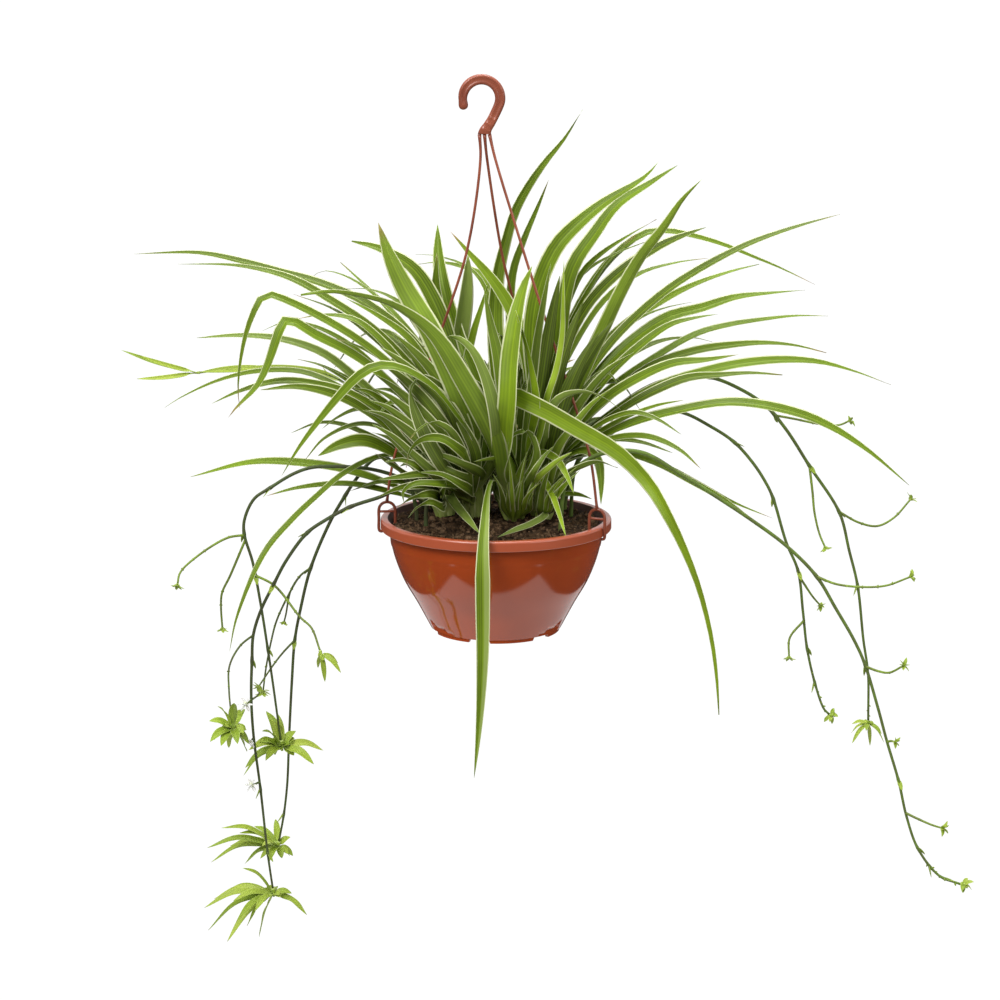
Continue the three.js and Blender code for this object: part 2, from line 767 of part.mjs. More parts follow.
    leaves: [
      { depth: 60, width: 16, roll: 50, route: [
        [678, 165], [650, 183], [617, 205], [595, 234], [575, 264], [565, 300], [560, 350], [548, 405],
        [538, 435],
      ] },
      { depth: 76, width: 9, roll: 20, route: [
        [657, 219], [628, 236], [601, 254], [583, 272], [568, 305], [552, 355], [540, 405],
      ] },
      { depth: 88, width: 9, roll: 20, route: [
        [637, 234], [612, 256], [590, 288], [570, 328], [548, 385],
      ] },
      { depth: 110, width: 11, roll: 22, route: [
        [816, 285], [778, 267], [751, 256], [724, 245], [693, 236], [666, 231], [646, 233], [615, 255],
        [585, 295], [560, 350], [543, 405],
      ] },
      { depth: 112, width: 12, roll: 12, route: [
        [760, 264], [729, 272], [693, 285], [662, 301], [625, 325], [590, 360], [555, 415],
      ] },
      { depth: 124, width: 10, roll: 12, route: [
        [708.5, 258], [675, 263], [639, 274], [605, 300], [575, 345], [548, 405],
      ] },
      { depth: 80, width: 8, roll: 20, route: [
        [645, 242], [615, 254], [590, 268], [572, 287], [558, 330], [545, 380],
      ] },
      { depth: 105, width: 10, roll: 45, route: [
        [549, 179], [538, 206], [524, 239], [513, 271], [510, 320], [516, 380],
      ] },
    ],
    spread: { seed: 29, count: 4, headings: [76, 112], reach: [130, 210], lift: [110, 180] },
  },
];

function crownPlace(crown) {
  return { x: potAxisX + crown.across, y: crown.depth };
}

// How many sections a blade gets for its length.
function sectionsFor(curve) {
  return Math.min(8, Math.max(4, Math.round(curve.getLength() / 70) + 2));
}

// A leaf that is drawn on the front view, as places in space from the crown outwards.
function drawnCourse(leaf, crown) {
  const { x, y } = crownPlace(crown);
  const neck = onSheet(new THREE.Vector3(x, y, soilTopZ(x, y) + bundleHeight));
  const places = [...leaf.route].reverse();
  const walked = walkedLengths([neck, ...places]);
  const outer = places.map((place, i) => {
    const share = walked[i + 1] / walked.at(-1);
    const depth = leaf.depths ? [...leaf.depths].reverse()[i] : y + (leaf.depth - y) * share;
    return seen(place, depth);
  });
  return { outer, width: leaf.width, roll: leaf.roll };
}

// Leaves that the others hide from the front: they arch away to the sides and the back.
function spreadCourses(crown) {
  if (!crown.spread) return [];
  const { seed, count, headings, reach, lift } = crown.spread;
  const { x, y } = crownPlace(crown);
  const neck = new THREE.Vector3(x, y, soilTopZ(x, y) + bundleHeight);
  const draw = seededDraws(seed);
  const between = (low, high) => low + (high - low) * draw();
  return Array.from({ length: count }, (_, i) => {
    const share = (i + 0.5) / count;
    const heading = THREE.MathUtils.degToRad(headings[0] + (headings[1] - headings[0]) * share);
    const far = between(...reach);
    const high = between(...lift);
    const apex = between(0.5, 0.7);
    const outer = [0.2, 0.4, 0.6, 0.8, 1].map((t) => {
      const gone = 1 - t / apex;
      const rise = high * (1 - gone * gone);
      return new THREE.Vector3(far * t * Math.cos(heading), far * t * Math.sin(heading), rise).add(neck);
    });
    return { outer, width: between(11, 15), roll: 0 };
  });
}

// A crown's leaves leave its bundle of sheaths one above the other, the steepest from its top.
function makeCrown(crown) {
  const { x, y } = crownPlace(crown);
  const soilZ = soilTopZ(x, y);
  const foot = soilZ - crownHoleDepth + seatGap;
  const topRadius = crown.core * bundleTaper;
  const height = crownHoleDepth - seatGap + bundleHeight;
  const bundle = uprightCylinder(crown.core, topRadius, height, 10, x, y, foot);
  const neck = new THREE.Vector3(x, y, soilZ + bundleHeight);
  const steepness = ({ outer }) => {
    const near = outer[0].clone().sub(neck);
    return Math.atan2(near.z, Math.hypot(near.x, near.y));
  };
  const courses = [...crown.leaves.map((leaf) => drawnCourse(leaf, crown)), ...spreadCourses(crown)];
  courses.sort((one, other) => steepness(one) - steepness(other));
  const leaves = courses.map(({ outer, width, roll }, i) => {
    const tip = outer.at(-1);
    const heading = Math.atan2(tip.y - y, tip.x - x);
    const out = new THREE.Vector3(Math.cos(heading), Math.sin(heading), 0);
    const rise = lowestSheath + (bundleHeight + 8 - lowestSheath) * (i / (courses.length - 1));
    const root = new THREE.Vector3(x, y, soilZ + rise - 9).addScaledVector(out, crown.core * 0.25);
    const collar = new THREE.Vector3(x, y, soilZ + rise).addScaledVector(out, crown.core * 0.8);
    const curve = smoothThrough([root, collar, ...outer]);
    const sides = width < narrowBlade ? 3 : 4;
    return blade(curve, { width, roll, heading, sides, stations: sectionsFor(curve) });
  });
  return joined([bundle, ...leaves]);
}

// Runners: the long stems with their twigs. foot is [across, depth] from the pot's axis.
// Routes are read on the front view, from the pot outwards, and depth is that of the end.
const runners = [
  {
    name: "left_upper",
    foot: [-66, 60],
    depth: 112,
    radius: 1.3,
    endRadius: 1,
    route: [[415, 460], [380, 410], [330, 376], [275, 368], [240, 369], [218, 370.5], [200, 372.5]],
    twigs: [],
    bracts: [[330, 376], [275, 368]],
  },
  {
    name: "left_long",
    foot: [-80, 14],
    depth: -10,
    radius: 1.9,
    endRadius: 1,
    route: [
      [408, 482], [393, 475], [370, 469], [340, 466.5], [311, 467.7], [293, 474], [270, 488],
      [254, 499], [244.4, 520], [244.2, 534], [252.6, 562], [261, 606], [268, 650.5], [272.2, 678.5],
      [280.7, 740],
    ],
    twigs: [
      { depth: -45, tuft: 8, route: [[243.5, 535], [227, 538], [195, 558], [180, 573], [177.5, 584.5]] },
      { depth: 15, tuft: 8, route: [[244, 540], [230, 576], [222, 593], [221, 607], [222.4, 628]] },
      { depth: -60, route: [[256, 575], [275, 586], [300, 617], [311.5, 628], [320, 650.5]] },
    ],
    bracts: [[270, 488], [244.2, 534], [256, 575], [268, 650]],
  },
  {
    name: "left_low",
    foot: [-70, -14],
    depth: -50,
    radius: 1.9,
    endRadius: 1,
    route: [
      [424, 494], [400, 489], [380, 497], [350, 507], [325.6, 520], [307, 533], [286, 561],
      [273.6, 584.5], [261, 610], [253.3, 635], [252, 660], [251.2, 695], [253.3, 733], [260.6, 790],
      [267.5, 852], [272.7, 888],
    ],
    twigs: [
      { depth: -75, route: [[253.3, 635], [240, 646], [229.5, 666], [229, 690], [232, 722]] },
      { depth: -30, tuft: 8, route: [[251.8, 700], [257, 696], [260, 692]] },
      { depth: -62, route: [[251.4, 700], [248, 703], [246, 704]] },
      { depth: -40, route: [[253.6, 738], [257, 739], [259, 740]] },
      { depth: -64, route: [[258, 782], [262, 784], [265, 785]] },
    ],
    bracts: [[350, 507], [307, 533], [273.6, 584.5], [252, 660], [260.6, 790], [267.5, 852]],
  },
  {
    name: "left_inner",
    foot: [-74, 50],
    depth: 35,
    radius: 1.9,
    endRadius: 1,
    route: [
      [400, 470], [386, 458], [374, 459], [354, 482], [345, 496], [331, 520], [310.8, 567.7],
      [300.3, 610], [294.7, 640.7], [291.9, 681], [289, 740], [287.3, 783], [283.9, 814], [279, 841],
    ],
    twigs: [
      { depth: 60, tuft: 9, route: [
        [310.8, 567.7], [300, 576], [289, 594], [276.5, 621], [271, 642], [266, 668], [263, 692],
      ] },
      { depth: 10, tuft: 9, route: [[294.7, 640.7], [283.5, 652], [274, 664], [259, 686]] },
    ],
    bracts: [[345, 496], [310.8, 567.7], [294.7, 640.7], [289, 740], [283.9, 814]],
  },
  {
    name: "right_long",
    foot: [70, 58],
    depth: 88,
    radius: 2.1,
    endRadius: 1.1,
    route: [
      [582, 452], [620, 405], [665, 380], [708, 377], [742, 390], [766.4, 406.5], [786.3, 429.7],
      [809.5, 466], [839.4, 512.6], [849.3, 551], [857.6, 585.6], [863.4, 640], [868, 673],
      [868.2, 720],
    ],
    twigs: [
      { depth: 105, tuft: 8, route: [[774.7, 415], [795, 419], [819.5, 424], [839, 425], [849, 421]] },
      { depth: 55, tuft: 9, route: [[810, 466], [812.5, 492], [814.5, 512.6], [819.5, 534], [825, 547]] },
      { depth: 110, tuft: 9, route: [
        [839.4, 512.6], [859, 522.6], [877.5, 526], [894, 517.6], [910, 500],
      ] },
    ],
    bracts: [[708, 377], [774.7, 415], [810, 466], [839.4, 512.6], [857.6, 585.6]],
  },
  {
    name: "right_inner",
    foot: [76, 30],
    depth: 36,
    radius: 1.9,
    endRadius: 1.1,
    route: [
      [578, 462], [620, 428], [655, 412], [681.7, 412.5], [710.7, 428], [736.6, 446], [753, 469.5],
      [771.4, 494.4], [786.3, 542.5], [798, 570.7], [803, 612], [807, 648], [814.6, 682], [824, 709],
      [829, 714],
    ],
    twigs: [
      { depth: 58, tuft: 7, route: [[799, 577], [813, 597], [820, 605]] },
      { depth: 10, tuft: 8, route: [[803.5, 621], [789.7, 638], [789, 657]] },
    ],
    bracts: [[734, 443], [771.4, 494.4], [798, 570.7], [807, 648], [814.6, 682]],
  },
  {
    name: "right_low",
    foot: [64, -42],
    depth: -120,
    radius: 2.1,
    endRadius: 1.1,
    route: [
      [568, 478], [598, 455], [640, 452], [682, 475], [720, 499], [753, 521], [786.3, 545.8],
      [816, 575.7], [836, 608.8], [854, 640], [864.4, 663], [877.7, 707], [887, 741.6], [898.8, 781.7],
      [906.4, 816], [918, 848.7], [939, 875.5], [960, 884],
    ],
    twigs: [
      { depth: -100, tuft: 9, route: [[816, 575.7], [836, 584], [862.6, 587], [886, 585.6], [910, 577]] },
      { depth: -130, tuft: 9, route: [[866, 666], [877.7, 671], [889, 672.7], [903, 666]] },
      { depth: -110, tuft: 7, route: [[887, 741.6], [891, 741], [895, 742]] },
      { depth: -135, tuft: 9, route: [[906, 812], [916, 818], [932, 825], [942, 828]] },
    ],
    bracts: [[816, 575.7], [866, 666], [898.8, 781.7], [918, 848.7], [930, 866], [945, 878]],
  },
];

function runnerFoot(runner) {
  return { x: potAxisX + runner.foot[0], y: runner.foot[1] };
}

function depthsAlong(places, startDepth, endDepth) {
  const walked = walkedLengths(places);
  return walked.map((length) => startDepth + ((endDepth - startDepth) * length) / walked.at(-1));
}

function runnerCurve(runner) {
  const { x, y } = runnerFoot(runner);
  const soil = soilTopZ(x, y);
  const foot = new THREE.Vector3(x, y, soil - stemHoleDepth + seatGap);
  const level = new THREE.Vector3(x, y, soil + 1);
  const neck = new THREE.Vector3(x, y, soil + 8);
  const depths = depthsAlong(runner.route, y, runner.depth);
  return smoothThrough([foot, level, neck, ...runner.route.map((place, i) => seen(place, depths[i]))]);
}

// How far along a curve it passes a place on the front view.
function shareAt(curve, place) {
  let best = 0;
  let nearest = Infinity;
  for (let i = 0; i <= 300; i++) {
    const [across, down] = onSheet(curve.getPointAt(i / 300));
    const off = Math.hypot(across - place[0], down - place[1]);
    if (off < nearest) {
      nearest = off;
      best = i / 300;
    }
  }
  return best;
}

function twigCurve(twig, parent) {
  const start = parent.getPointAt(shareAt(parent, twig.route[0]));
  const depths = depthsAlong(twig.route, start.y, twig.depth);
  const outer = twig.route.slice(1).map((place, i) => seen(place, depths[i + 1]));
  return smoothThrough([start, ...outer]);
}

// A closed body that spreads round a stem's end: a ring of points, each given by how far out and how
// far ahead it is, between a near and a far apex.
function whorl(end, ahead, ring, thickness) {
  const sideways = new THREE.Vector3(0, 0, 1).cross(ahead).normalize();
  const upwards = new THREE.Vector3().crossVectors(ahead, sideways);
  const points = ring.map(([out, forward], k) => {
    const turn = (2 * Math.PI * k) / ring.length;
    return end
      .clone()
      .addScaledVector(sideways, out * Math.cos(turn))
      .addScaledVector(upwards, out * Math.sin(turn))
      .addScaledVector(ahead, forward);
  });
  const near = end.clone().addScaledVector(ahead, -thickness / 2);
  const far = end.clone().addScaledVector(ahead, thickness / 2);
  const triangles = points.flatMap((_, k) => {
    const next = (k + 1) % ring.length;
    return [
      [ring.length, next, k],
      [ring.length + 1, k, next],
    ];
  });
  return solidFrom([...points, near, far], triangles);
}

// The tuft of small leaves at a twig's end.
function tuft(curve, size) {
  const ring = Array.from({ length: 8 }, (_, k) => (k % 2 ? [1.3, 0] : [size * (1 - 0.06 * k), size * 0.35]));
  return whorl(curve.getPointAt(1), curve.getTangentAt(1), ring, 2.4);
}

// A pointed leaf that clasps a stem where a twig or bud leaves it.
function bract(curve, place, turn) {
  const share = shareAt(curve, place);
  const start = curve.getPointAt(share);
  const ahead = curve.getTangentAt(share);
  const heading = 2.4 * turn;
  const out = new THREE.Vector3(Math.cos(heading), Math.sin(heading), 0.2);
  out.multiplyScalar(0.55).add(ahead).normalize();
  const root = start.clone().addScaledVector(ahead, -1);
  const line = new THREE.LineCurve3(root, start.clone().addScaledVector(out, 11));
  return blade(line, { width: 5, heading, stations: 2, fold: 25, thickness: 1.6, sides: 3 });
}

function makeRunner(runner) {
  const curve = runnerCurve(runner);
  const steps = Math.round(curve.getLength() / 36);
  const straight = (stemHoleDepth + 4) / curve.getLength();
  const pieces = [stem(curve, runner.radius, runner.endRadius, steps, stemSides, straight)];
  for (const twig of runner.twigs) {
    const line = twigCurve(twig, curve);
    const twigSteps = Math.max(1, Math.round(line.getLength() / 24));
    pieces.push(stem(line, 0.9, 0.7, twigSteps, 3));
    if (twig.tuft) pieces.push(tuft(line, twig.tuft));
  }
  runner.bracts.forEach((place, i) => pieces.push(bract(curve, place, i)));
  return joined(pieces);
}

// Plantlets: rosettes at the ends of runners and twigs. tips are places on the front view, reach is how
// far their leaves come forward and back, and more adds leaves that point those ways.
const plantlets = [
  { name: "left_bract", on: ["left_upper"], reach: 14, width: 6, more: 0, tips: [
    [136, 379], [121, 350], [141, 356],
  ] },
  { name: "left_a", on: ["left_low", 0], reach: 26, width: 8, more: 2, tips: [
    [209, 721], [214, 740], [221, 746], [247, 751.5], [217.6, 706], [245, 709],
  ] },
  { name: "left_b", on: ["left_long"], reach: 26, width: 8, more: 2, tips: [
    [245, 768], [243.4, 775.6], [248.5, 750], [323.5, 750.6], [314, 764.4], [265.8, 720],
  ] },
  { name: "left_c", on: ["left_inner"], reach: 28, width: 8, more: 2, tips: [
    [207, 848], [210.7, 862.5], [221, 828], [243.4, 863.4], [238, 832.4], [291.6, 835], [278, 869],
    [288, 850.5],
  ] },
  { name: "left_d", on: ["left_low"], reach: 30, width: 8, more: 2, tips: [
    [204, 908], [208, 930.6], [227, 942], [258, 936.6], [242.5, 868], [221, 893], [307, 913],
    [236, 922],
  ] },
  { name: "left_e", on: ["left_long", 2], reach: 12, width: 5, more: 1, tips: [
    [318, 668], [326, 681], [335, 671], [339, 664],
  ] },
  { name: "right_a", on: ["right_inner"], reach: 10, width: 5, more: 1, tips: [
    [824, 722], [832, 724], [838, 717], [834, 708],
  ] },
  { name: "right_b", on: ["right_long"], reach: 14, width: 6, more: 1, tips: [
    [852, 724], [851, 733], [852, 743.5], [884, 742.5], [881.6, 734], [870, 746],
  ] },
  { name: "right_c", on: ["right_low"], reach: 9, width: 5, more: 1, tips: [
    [974, 882], [972, 890], [963, 893], [968, 878],
  ] },
];

function endOf(on) {
  const runner = runners.find((one) => one.name === on[0]);
  const curve = runnerCurve(runner);
  return on.length > 1 ? twigCurve(runner.twigs[on[1]], curve) : curve;
}

function makePlantlet(plantlet) {
  const line = endOf(plantlet.on);
  const ahead = line.getTangentAt(1);
  const start = line.getPointAt(1).addScaledVector(ahead, seatGap);
  const { width, reach } = plantlet;
  const coreLength = width * 1.1;
  const coreLine = new THREE.LineCurve3(start, start.clone().addScaledVector(ahead, coreLength));
  const heart = start.clone().addScaledVector(ahead, coreLength * 0.55);
  const pieces = [stem(coreLine, width * 0.34, width * 0.2, 1, 6)];
  const leafTo = (tip) => {
    const heading = Math.atan2(tip.y - heart.y, tip.x - heart.x);
    const root = heart.clone().lerp(tip, (width * 0.2) / heart.distanceTo(tip));
    const middle = heart.clone().lerp(tip, 0.55);
    middle.z += heart.distanceTo(tip) * 0.14;
    const curve = smoothThrough([root, middle, tip]);
    pieces.push(blade(curve, { width, heading, stations: 3, fold: 25, thickness: 1.2, sides: 3 }));
  };
  const swings = [-0.3, 0.75, -0.85, 0.45, -0.6, 0.95, 0.1, -1];
  plantlet.tips.forEach((place, i) => leafTo(seen(place, heart.y + reach * swings[i])));
  for (let i = 0; i < plantlet.more; i++) {
    const turn = Math.PI * (i % 2 ? 0.5 : -0.5) + 0.5 * (i - plantlet.more / 2);
    const out = new THREE.Vector3(Math.cos(turn), Math.sin(turn), -0.25);
    leafTo(heart.clone().addScaledVector(out, reach * 1.15));
  }
  return joined(pieces);
}

// Flowers: white stars of six petals at the ends of short stalks on the left runners.
const flowers = [
  { name: "upper", on: ["left_low", 2], petal: 7 },
  { name: "middle", on: ["left_low", 3], petal: 7 },
  { name: "lower", on: ["left_low", 4], petal: 6 },
];

function makeFlower({ on, petal }) {
  const line = endOf(on);
  const ahead = line.getTangentAt(1);
  const start = line.getPointAt(1).addScaledVector(ahead, seatGap);
  const coreLine = new THREE.LineCurve3(start, start.clone().addScaledVector(ahead, 2.6));
  const heart = start.clone().addScaledVector(ahead, 1.6);
  const ring = Array.from({ length: 12 }, (_, k) => (k % 2 ? [petal * 0.36, 0] : [petal, petal * 0.3]));
  return joined([stem(coreLine, 1.1, 0.9, 1, 4), whorl(heart, ahead, ring, 1.8)]);
}

// Object

// A fused solid's points and triangles without slivers: short edges are drawn together, and where a
// triangle's corner lies on its longest edge, that edge is turned to join the corners on either side.
function withoutSlivers(solid) {
  const { numProp, vertProperties, triVerts } = solid.getMesh();
  const points = [];
  for (let i = 0; i < vertProperties.length; i += numProp) {
    points.push(new THREE.Vector3().fromArray(vertProperties, i));
  }
  const triangles = [];
  for (let i = 0; i < triVerts.length; i += 3) triangles.push([...triVerts.subarray(i, i + 3)]);
  const around = points.map(() => new Set());
  triangles.forEach((corners, i) => corners.forEach((v) => around[v].add(i)));
  const nextTo = (v) => new Set([...around[v]].flatMap((i) => triangles[i]));
  const normalOf = (corners, moved, place) => {
    const [a, b, c] = corners.map((v) => (moved.includes(v) ? place : points[v]));
    return b.clone().sub(a).cross(c.clone().sub(a));
  };

  const drawTogether = (kept, gone) => {
    const shared = [...nextTo(kept)].filter((v) => nextTo(gone).has(v) && v !== kept && v !== gone);
    if (shared.length !== 2) return false;
    const place = points[kept].clone().lerp(points[gone], 0.5);
    const moved = [kept, gone];
    const stay = [...around[kept], ...around[gone]].filter(
      (i) => !moved.every((v) => triangles[i].includes(v)),
    );
    const turnsOver = stay.some((i) => {
      const before = normalOf(triangles[i], [], place);
      const after = normalOf(triangles[i], moved, place);
      return before.length() > sliverEdge && before.dot(after) < 0.5 * before.length() * after.length();
    });
    if (turnsOver) return false;
    for (const i of [...around[gone]]) {
      const corners = triangles[i];
      if (corners.includes(kept)) {
        corners.forEach((v) => around[v].delete(i));
        triangles[i] = null;
      } else {
        corners[corners.indexOf(gone)] = kept;
        around[kept].add(i);
      }
    }
    around[gone].clear();
    points[kept].copy(place);
    return true;
  };

  const height = (corners) => {
    const sides = corners.map((v, k) => points[v].distanceTo(points[corners[(k + 1) % 3]]));
    return normalOf(corners, [], null).length() / Math.max(...sides);
  };

  const turnLongestEdge = (i) => {
    const corners = triangles[i];
    const sides = corners.map((v, k) => points[v].distanceTo(points[corners[(k + 1) % 3]]));
    const k = sides.indexOf(Math.max(...sides));
    const [a, b, c] = [corners[k], corners[(k + 1) % 3], corners[(k + 2) % 3]];
    const other = [...around[a]].find((j) => j !== i && triangles[j].includes(b));
    const d = triangles[other].find((v) => v !== a && v !== b);
    if (nextTo(c).has(d)) return;
    const turned = [
      [a, d, c],
      [d, b, c],
    ];
    if (Math.min(...turned.map(height)) < 2 * height(corners)) return;
    [a, b, c].forEach((v) => around[v].delete(i));
    [a, b, d].forEach((v) => around[v].delete(other));
    [triangles[i], triangles[other]] = turned;
    turned[0].forEach((v) => around[v].add(i));
    turned[1].forEach((v) => around[v].add(other));
  };

  for (let pass = 0; pass < 4; pass++) {
    for (let i = 0; i < triangles.length; i++) {
      for (let k = 0; k < 3 && triangles[i]; k++) {
        const [v, w] = [triangles[i][k], triangles[i][(k + 1) % 3]];
        if (points[v].distanceTo(points[w]) < sliverEdge) drawTogether(v, w);
      }
    }
    for (let i = 0; i < triangles.length; i++) {
      if (triangles[i] && height(triangles[i]) < sliverHeight) turnLongestEdge(i);
    }
  }

  // Two points that still touch are moved a hair into the body, each from its own side. So is a point
  // that lies on an edge of triangles that it has no part in.
  const used = points.map((_, v) => v).filter((v) => around[v].size > 0);
  const outwardAt = (v) => {
    const sum = new THREE.Vector3();
    around[v].forEach((i) => sum.add(normalOf(triangles[i], [], null)));
    return sum.normalize();
  };
  used.forEach((v, at) => {
    for (const w of used.slice(at + 1)) {
      if (points[v].distanceTo(points[w]) > sliverHeight) continue;
      const [outV, outW] = [outwardAt(v), outwardAt(w)];
      points[v].addScaledVector(outV, -sliverHeight);
      points[w].addScaledVector(outW, -2 * sliverHeight);
    }
  });
  const left = triangles.filter(Boolean);
  const edges = left.flatMap(([a, b, c]) => [
    [a, b],
    [b, c],
    [c, a],
  ]);
  const nearest = new THREE.Vector3();
  for (const v of used) {
    const beside = nextTo(v);
    const touches = edges.some(([a, b]) => {
      if (a > b || v === a || v === b || (beside.has(a) && beside.has(b))) return false;
      new THREE.Line3(points[a], points[b]).closestPointToPoint(points[v], true, nearest);
      return nearest.distanceTo(points[v]) < sliverHeight;
    });
    if (touches) points[v].addScaledVector(outwardAt(v), -2 * sliverHeight);
  }
  return { points, triangles: left };
}

function meshOf(name, solid, material) {
  const { points, triangles } = withoutSlivers(solid);
  const geometry = new THREE.BufferGeometry();
  geometry.setFromPoints(points);
  geometry.setIndex(triangles.flat());
  geometry.computeVertexNormals();
  const mesh = new THREE.Mesh(geometry, material);
  mesh.name = name;
  return mesh;
}

const finishes = {
  potPlastic: { color: 0xa5431f, roughness: 0.3 },
  hangerPlastic: { color: 0x8f4a34, roughness: 0.38 },
  soil: { color: 0x3b2a22, roughness: 0.95 },
  leaf: { color: 0x6e8f2b, roughness: 0.5 },
  runner: { color: 0x5c6f2c, roughness: 0.55 },
  plantlet: { color: 0xa9c936, roughness: 0.5 },
  petal: { color: 0xf4f4ee, roughness: 0.6 },
};

function finish(name) {
  return new THREE.MeshStandardMaterial({ ...finishes[name], metalness: 0 });
}

const spiderPlant = new THREE.Group();
spiderPlant.name = "potted_spider_plant";
spiderPlant.add(meshOf("pot", makePot(), finish("potPlastic")));
spiderPlant.add(meshOf("soil", makeSoil(), finish("soil")));
spiderPlant.add(meshOf("hanger_hook", makeHook(), finish("hangerPlastic")));
for (const strand of strands) {
  spiderPlant.add(meshOf(`hanger_strand_${strand.name}`, makeStrand(strand), finish("hangerPlastic")));
}
for (const crown of crowns) {
  spiderPlant.add(meshOf(`crown_${crown.name}`, makeCrown(crown), finish("leaf")));
}
for (const runner of runners) {
  spiderPlant.add(meshOf(`runner_${runner.name}`, makeRunner(runner), finish("runner")));
}
for (const plantlet of plantlets) {
  spiderPlant.add(meshOf(`plantlet_${plantlet.name}`, makePlantlet(plantlet), finish("plantlet")));
}
for (const flower of flowers) {
  spiderPlant.add(meshOf(`flower_${flower.name}`, makeFlower(flower), finish("petal")));
}

export default spiderPlant;
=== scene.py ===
import math
import random

import bpy
import numpy as np
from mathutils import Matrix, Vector, noise


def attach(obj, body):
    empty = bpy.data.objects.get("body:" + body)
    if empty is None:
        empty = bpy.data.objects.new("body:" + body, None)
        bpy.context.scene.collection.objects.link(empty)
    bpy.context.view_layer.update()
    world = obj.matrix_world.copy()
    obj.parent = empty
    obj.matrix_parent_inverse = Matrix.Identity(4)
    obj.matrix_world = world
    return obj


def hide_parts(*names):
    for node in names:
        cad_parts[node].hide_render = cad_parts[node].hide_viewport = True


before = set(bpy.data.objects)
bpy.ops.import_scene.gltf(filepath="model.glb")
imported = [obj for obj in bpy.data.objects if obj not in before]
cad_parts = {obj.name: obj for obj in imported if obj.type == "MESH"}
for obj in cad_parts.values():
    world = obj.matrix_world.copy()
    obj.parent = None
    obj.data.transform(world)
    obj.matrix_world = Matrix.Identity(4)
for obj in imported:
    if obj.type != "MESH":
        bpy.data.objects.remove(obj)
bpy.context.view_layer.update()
print("frame loaded:", len(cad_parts), "nodes")

metre = 0.001  # metres in a millimetre

# Camera: it looks a little down, and 1 mm of the sheet is 1 mm at the pot's axis
view = dict(distance=3000.0, tilt=math.radians(12), middle=500.0, lens=108.0, sensor=36.0, far=200.0,
            aim=(18.0, 0.0, -412.6))


def vec(*parts):
    return np.array(parts, float)


def unit(v):
    return v / max(np.linalg.norm(v), 1e-12)


def seen(place, depth):  # the point that shows at a place on the sheet and lies at a depth
    cos, sin = math.cos(view["tilt"]), math.sin(view["tilt"])
    rise = view["middle"] - place[1]
    eye = vec(0, -view["distance"] * cos, view["distance"] * sin) + view["aim"]
    sight = vec(place[0] - view["middle"], view["distance"] * cos + rise * sin,
                rise * cos - view["distance"] * sin)
    return eye + sight * (depth - eye[1]) / sight[1]


def onSheet(point):  # where a point shows on the sheet
    cos, sin = math.cos(view["tilt"]), math.sin(view["tilt"])
    x, y, z = np.asarray(point, float) - view["aim"]
    shrink = view["distance"] / (view["distance"] + y * cos - z * sin)
    return view["middle"] + x * shrink, view["middle"] - (z * cos + y * sin) * shrink


def eased(value, low, high):
    t = min(1.0, max(0.0, (value - low) / (high - low)))
    return t * t * (3 - 2 * t)


def mixed(a, b, share):
    return a + (b - a) * share


def makeCamera():
    cos, sin = math.cos(view["tilt"]), math.sin(view["tilt"])
    eye = (vec(0, -view["distance"] * cos, view["distance"] * sin) + view["aim"]) * metre
    camera = bpy.data.objects.new("frontCamera", bpy.data.cameras.new("frontCamera"))
    camera.data.lens = view["lens"]
    camera.data.sensor_width = view["sensor"]
    camera.location = eye
    camera.rotation_euler = (math.radians(90) - view["tilt"], 0, 0)
    camera.data.clip_end = view["far"]
    bpy.context.scene.collection.objects.link(camera)
    bpy.context.scene.camera = camera


makeCamera()


# Smooth courses: a centripetal curve through points, read by how far along it a place is
class Course:
    def __init__(self, points, perSpan=24):
        p = [np.asarray(q, float) for q in points]
        p = [2 * p[0] - p[1]] + p + [2 * p[-1] - p[-2]]
        run = []
        for k in range(1, len(p) - 2):
            a, b, c, d = p[k - 1:k + 3]
            gaps = [max(np.linalg.norm(v - u) ** 0.5, 1e-4) for u, v in ((a, b), (b, c), (c, d))]
            start = ((b - a) / gaps[0] - (c - a) / (gaps[0] + gaps[1]) + (c - b) / gaps[1]) * gaps[1]
            end = ((c - b) / gaps[1] - (d - b) / (gaps[1] + gaps[2]) + (d - c) / gaps[2]) * gaps[1]
            for t in np.arange(perSpan) / perSpan:
                run.append(b + start * t + (3 * (c - b) - 2 * start - end) * t ** 2
                           + (2 * (b - c) + start + end) * t ** 3)
        run.append(p[-2])
        self.points = np.array(run)
        steps = np.linalg.norm(np.diff(self.points, axis=0), axis=1)
        self.walked = np.concatenate([[0], np.cumsum(steps)])
        self.length = self.walked[-1]

    def at(self, share):
        here = min(max(share, 0), 1) * self.length
        return np.array([np.interp(here, self.walked, self.points[:, k]) for k in range(3)])

    def ahead(self, share):
        low, high = max(0, share - 0.004), min(1, share + 0.004)
        return unit(self.at(high) - self.at(low))

    def shareAt(self, place):  # how far along it shows at a place on the sheet
        shares = np.linspace(0, 1, 301)
        off = [math.dist(onSheet(self.at(s)), place) for s in shares]
        return float(shares[int(np.argmin(off))])


plainTint = (0.5, 0, 0, 1)


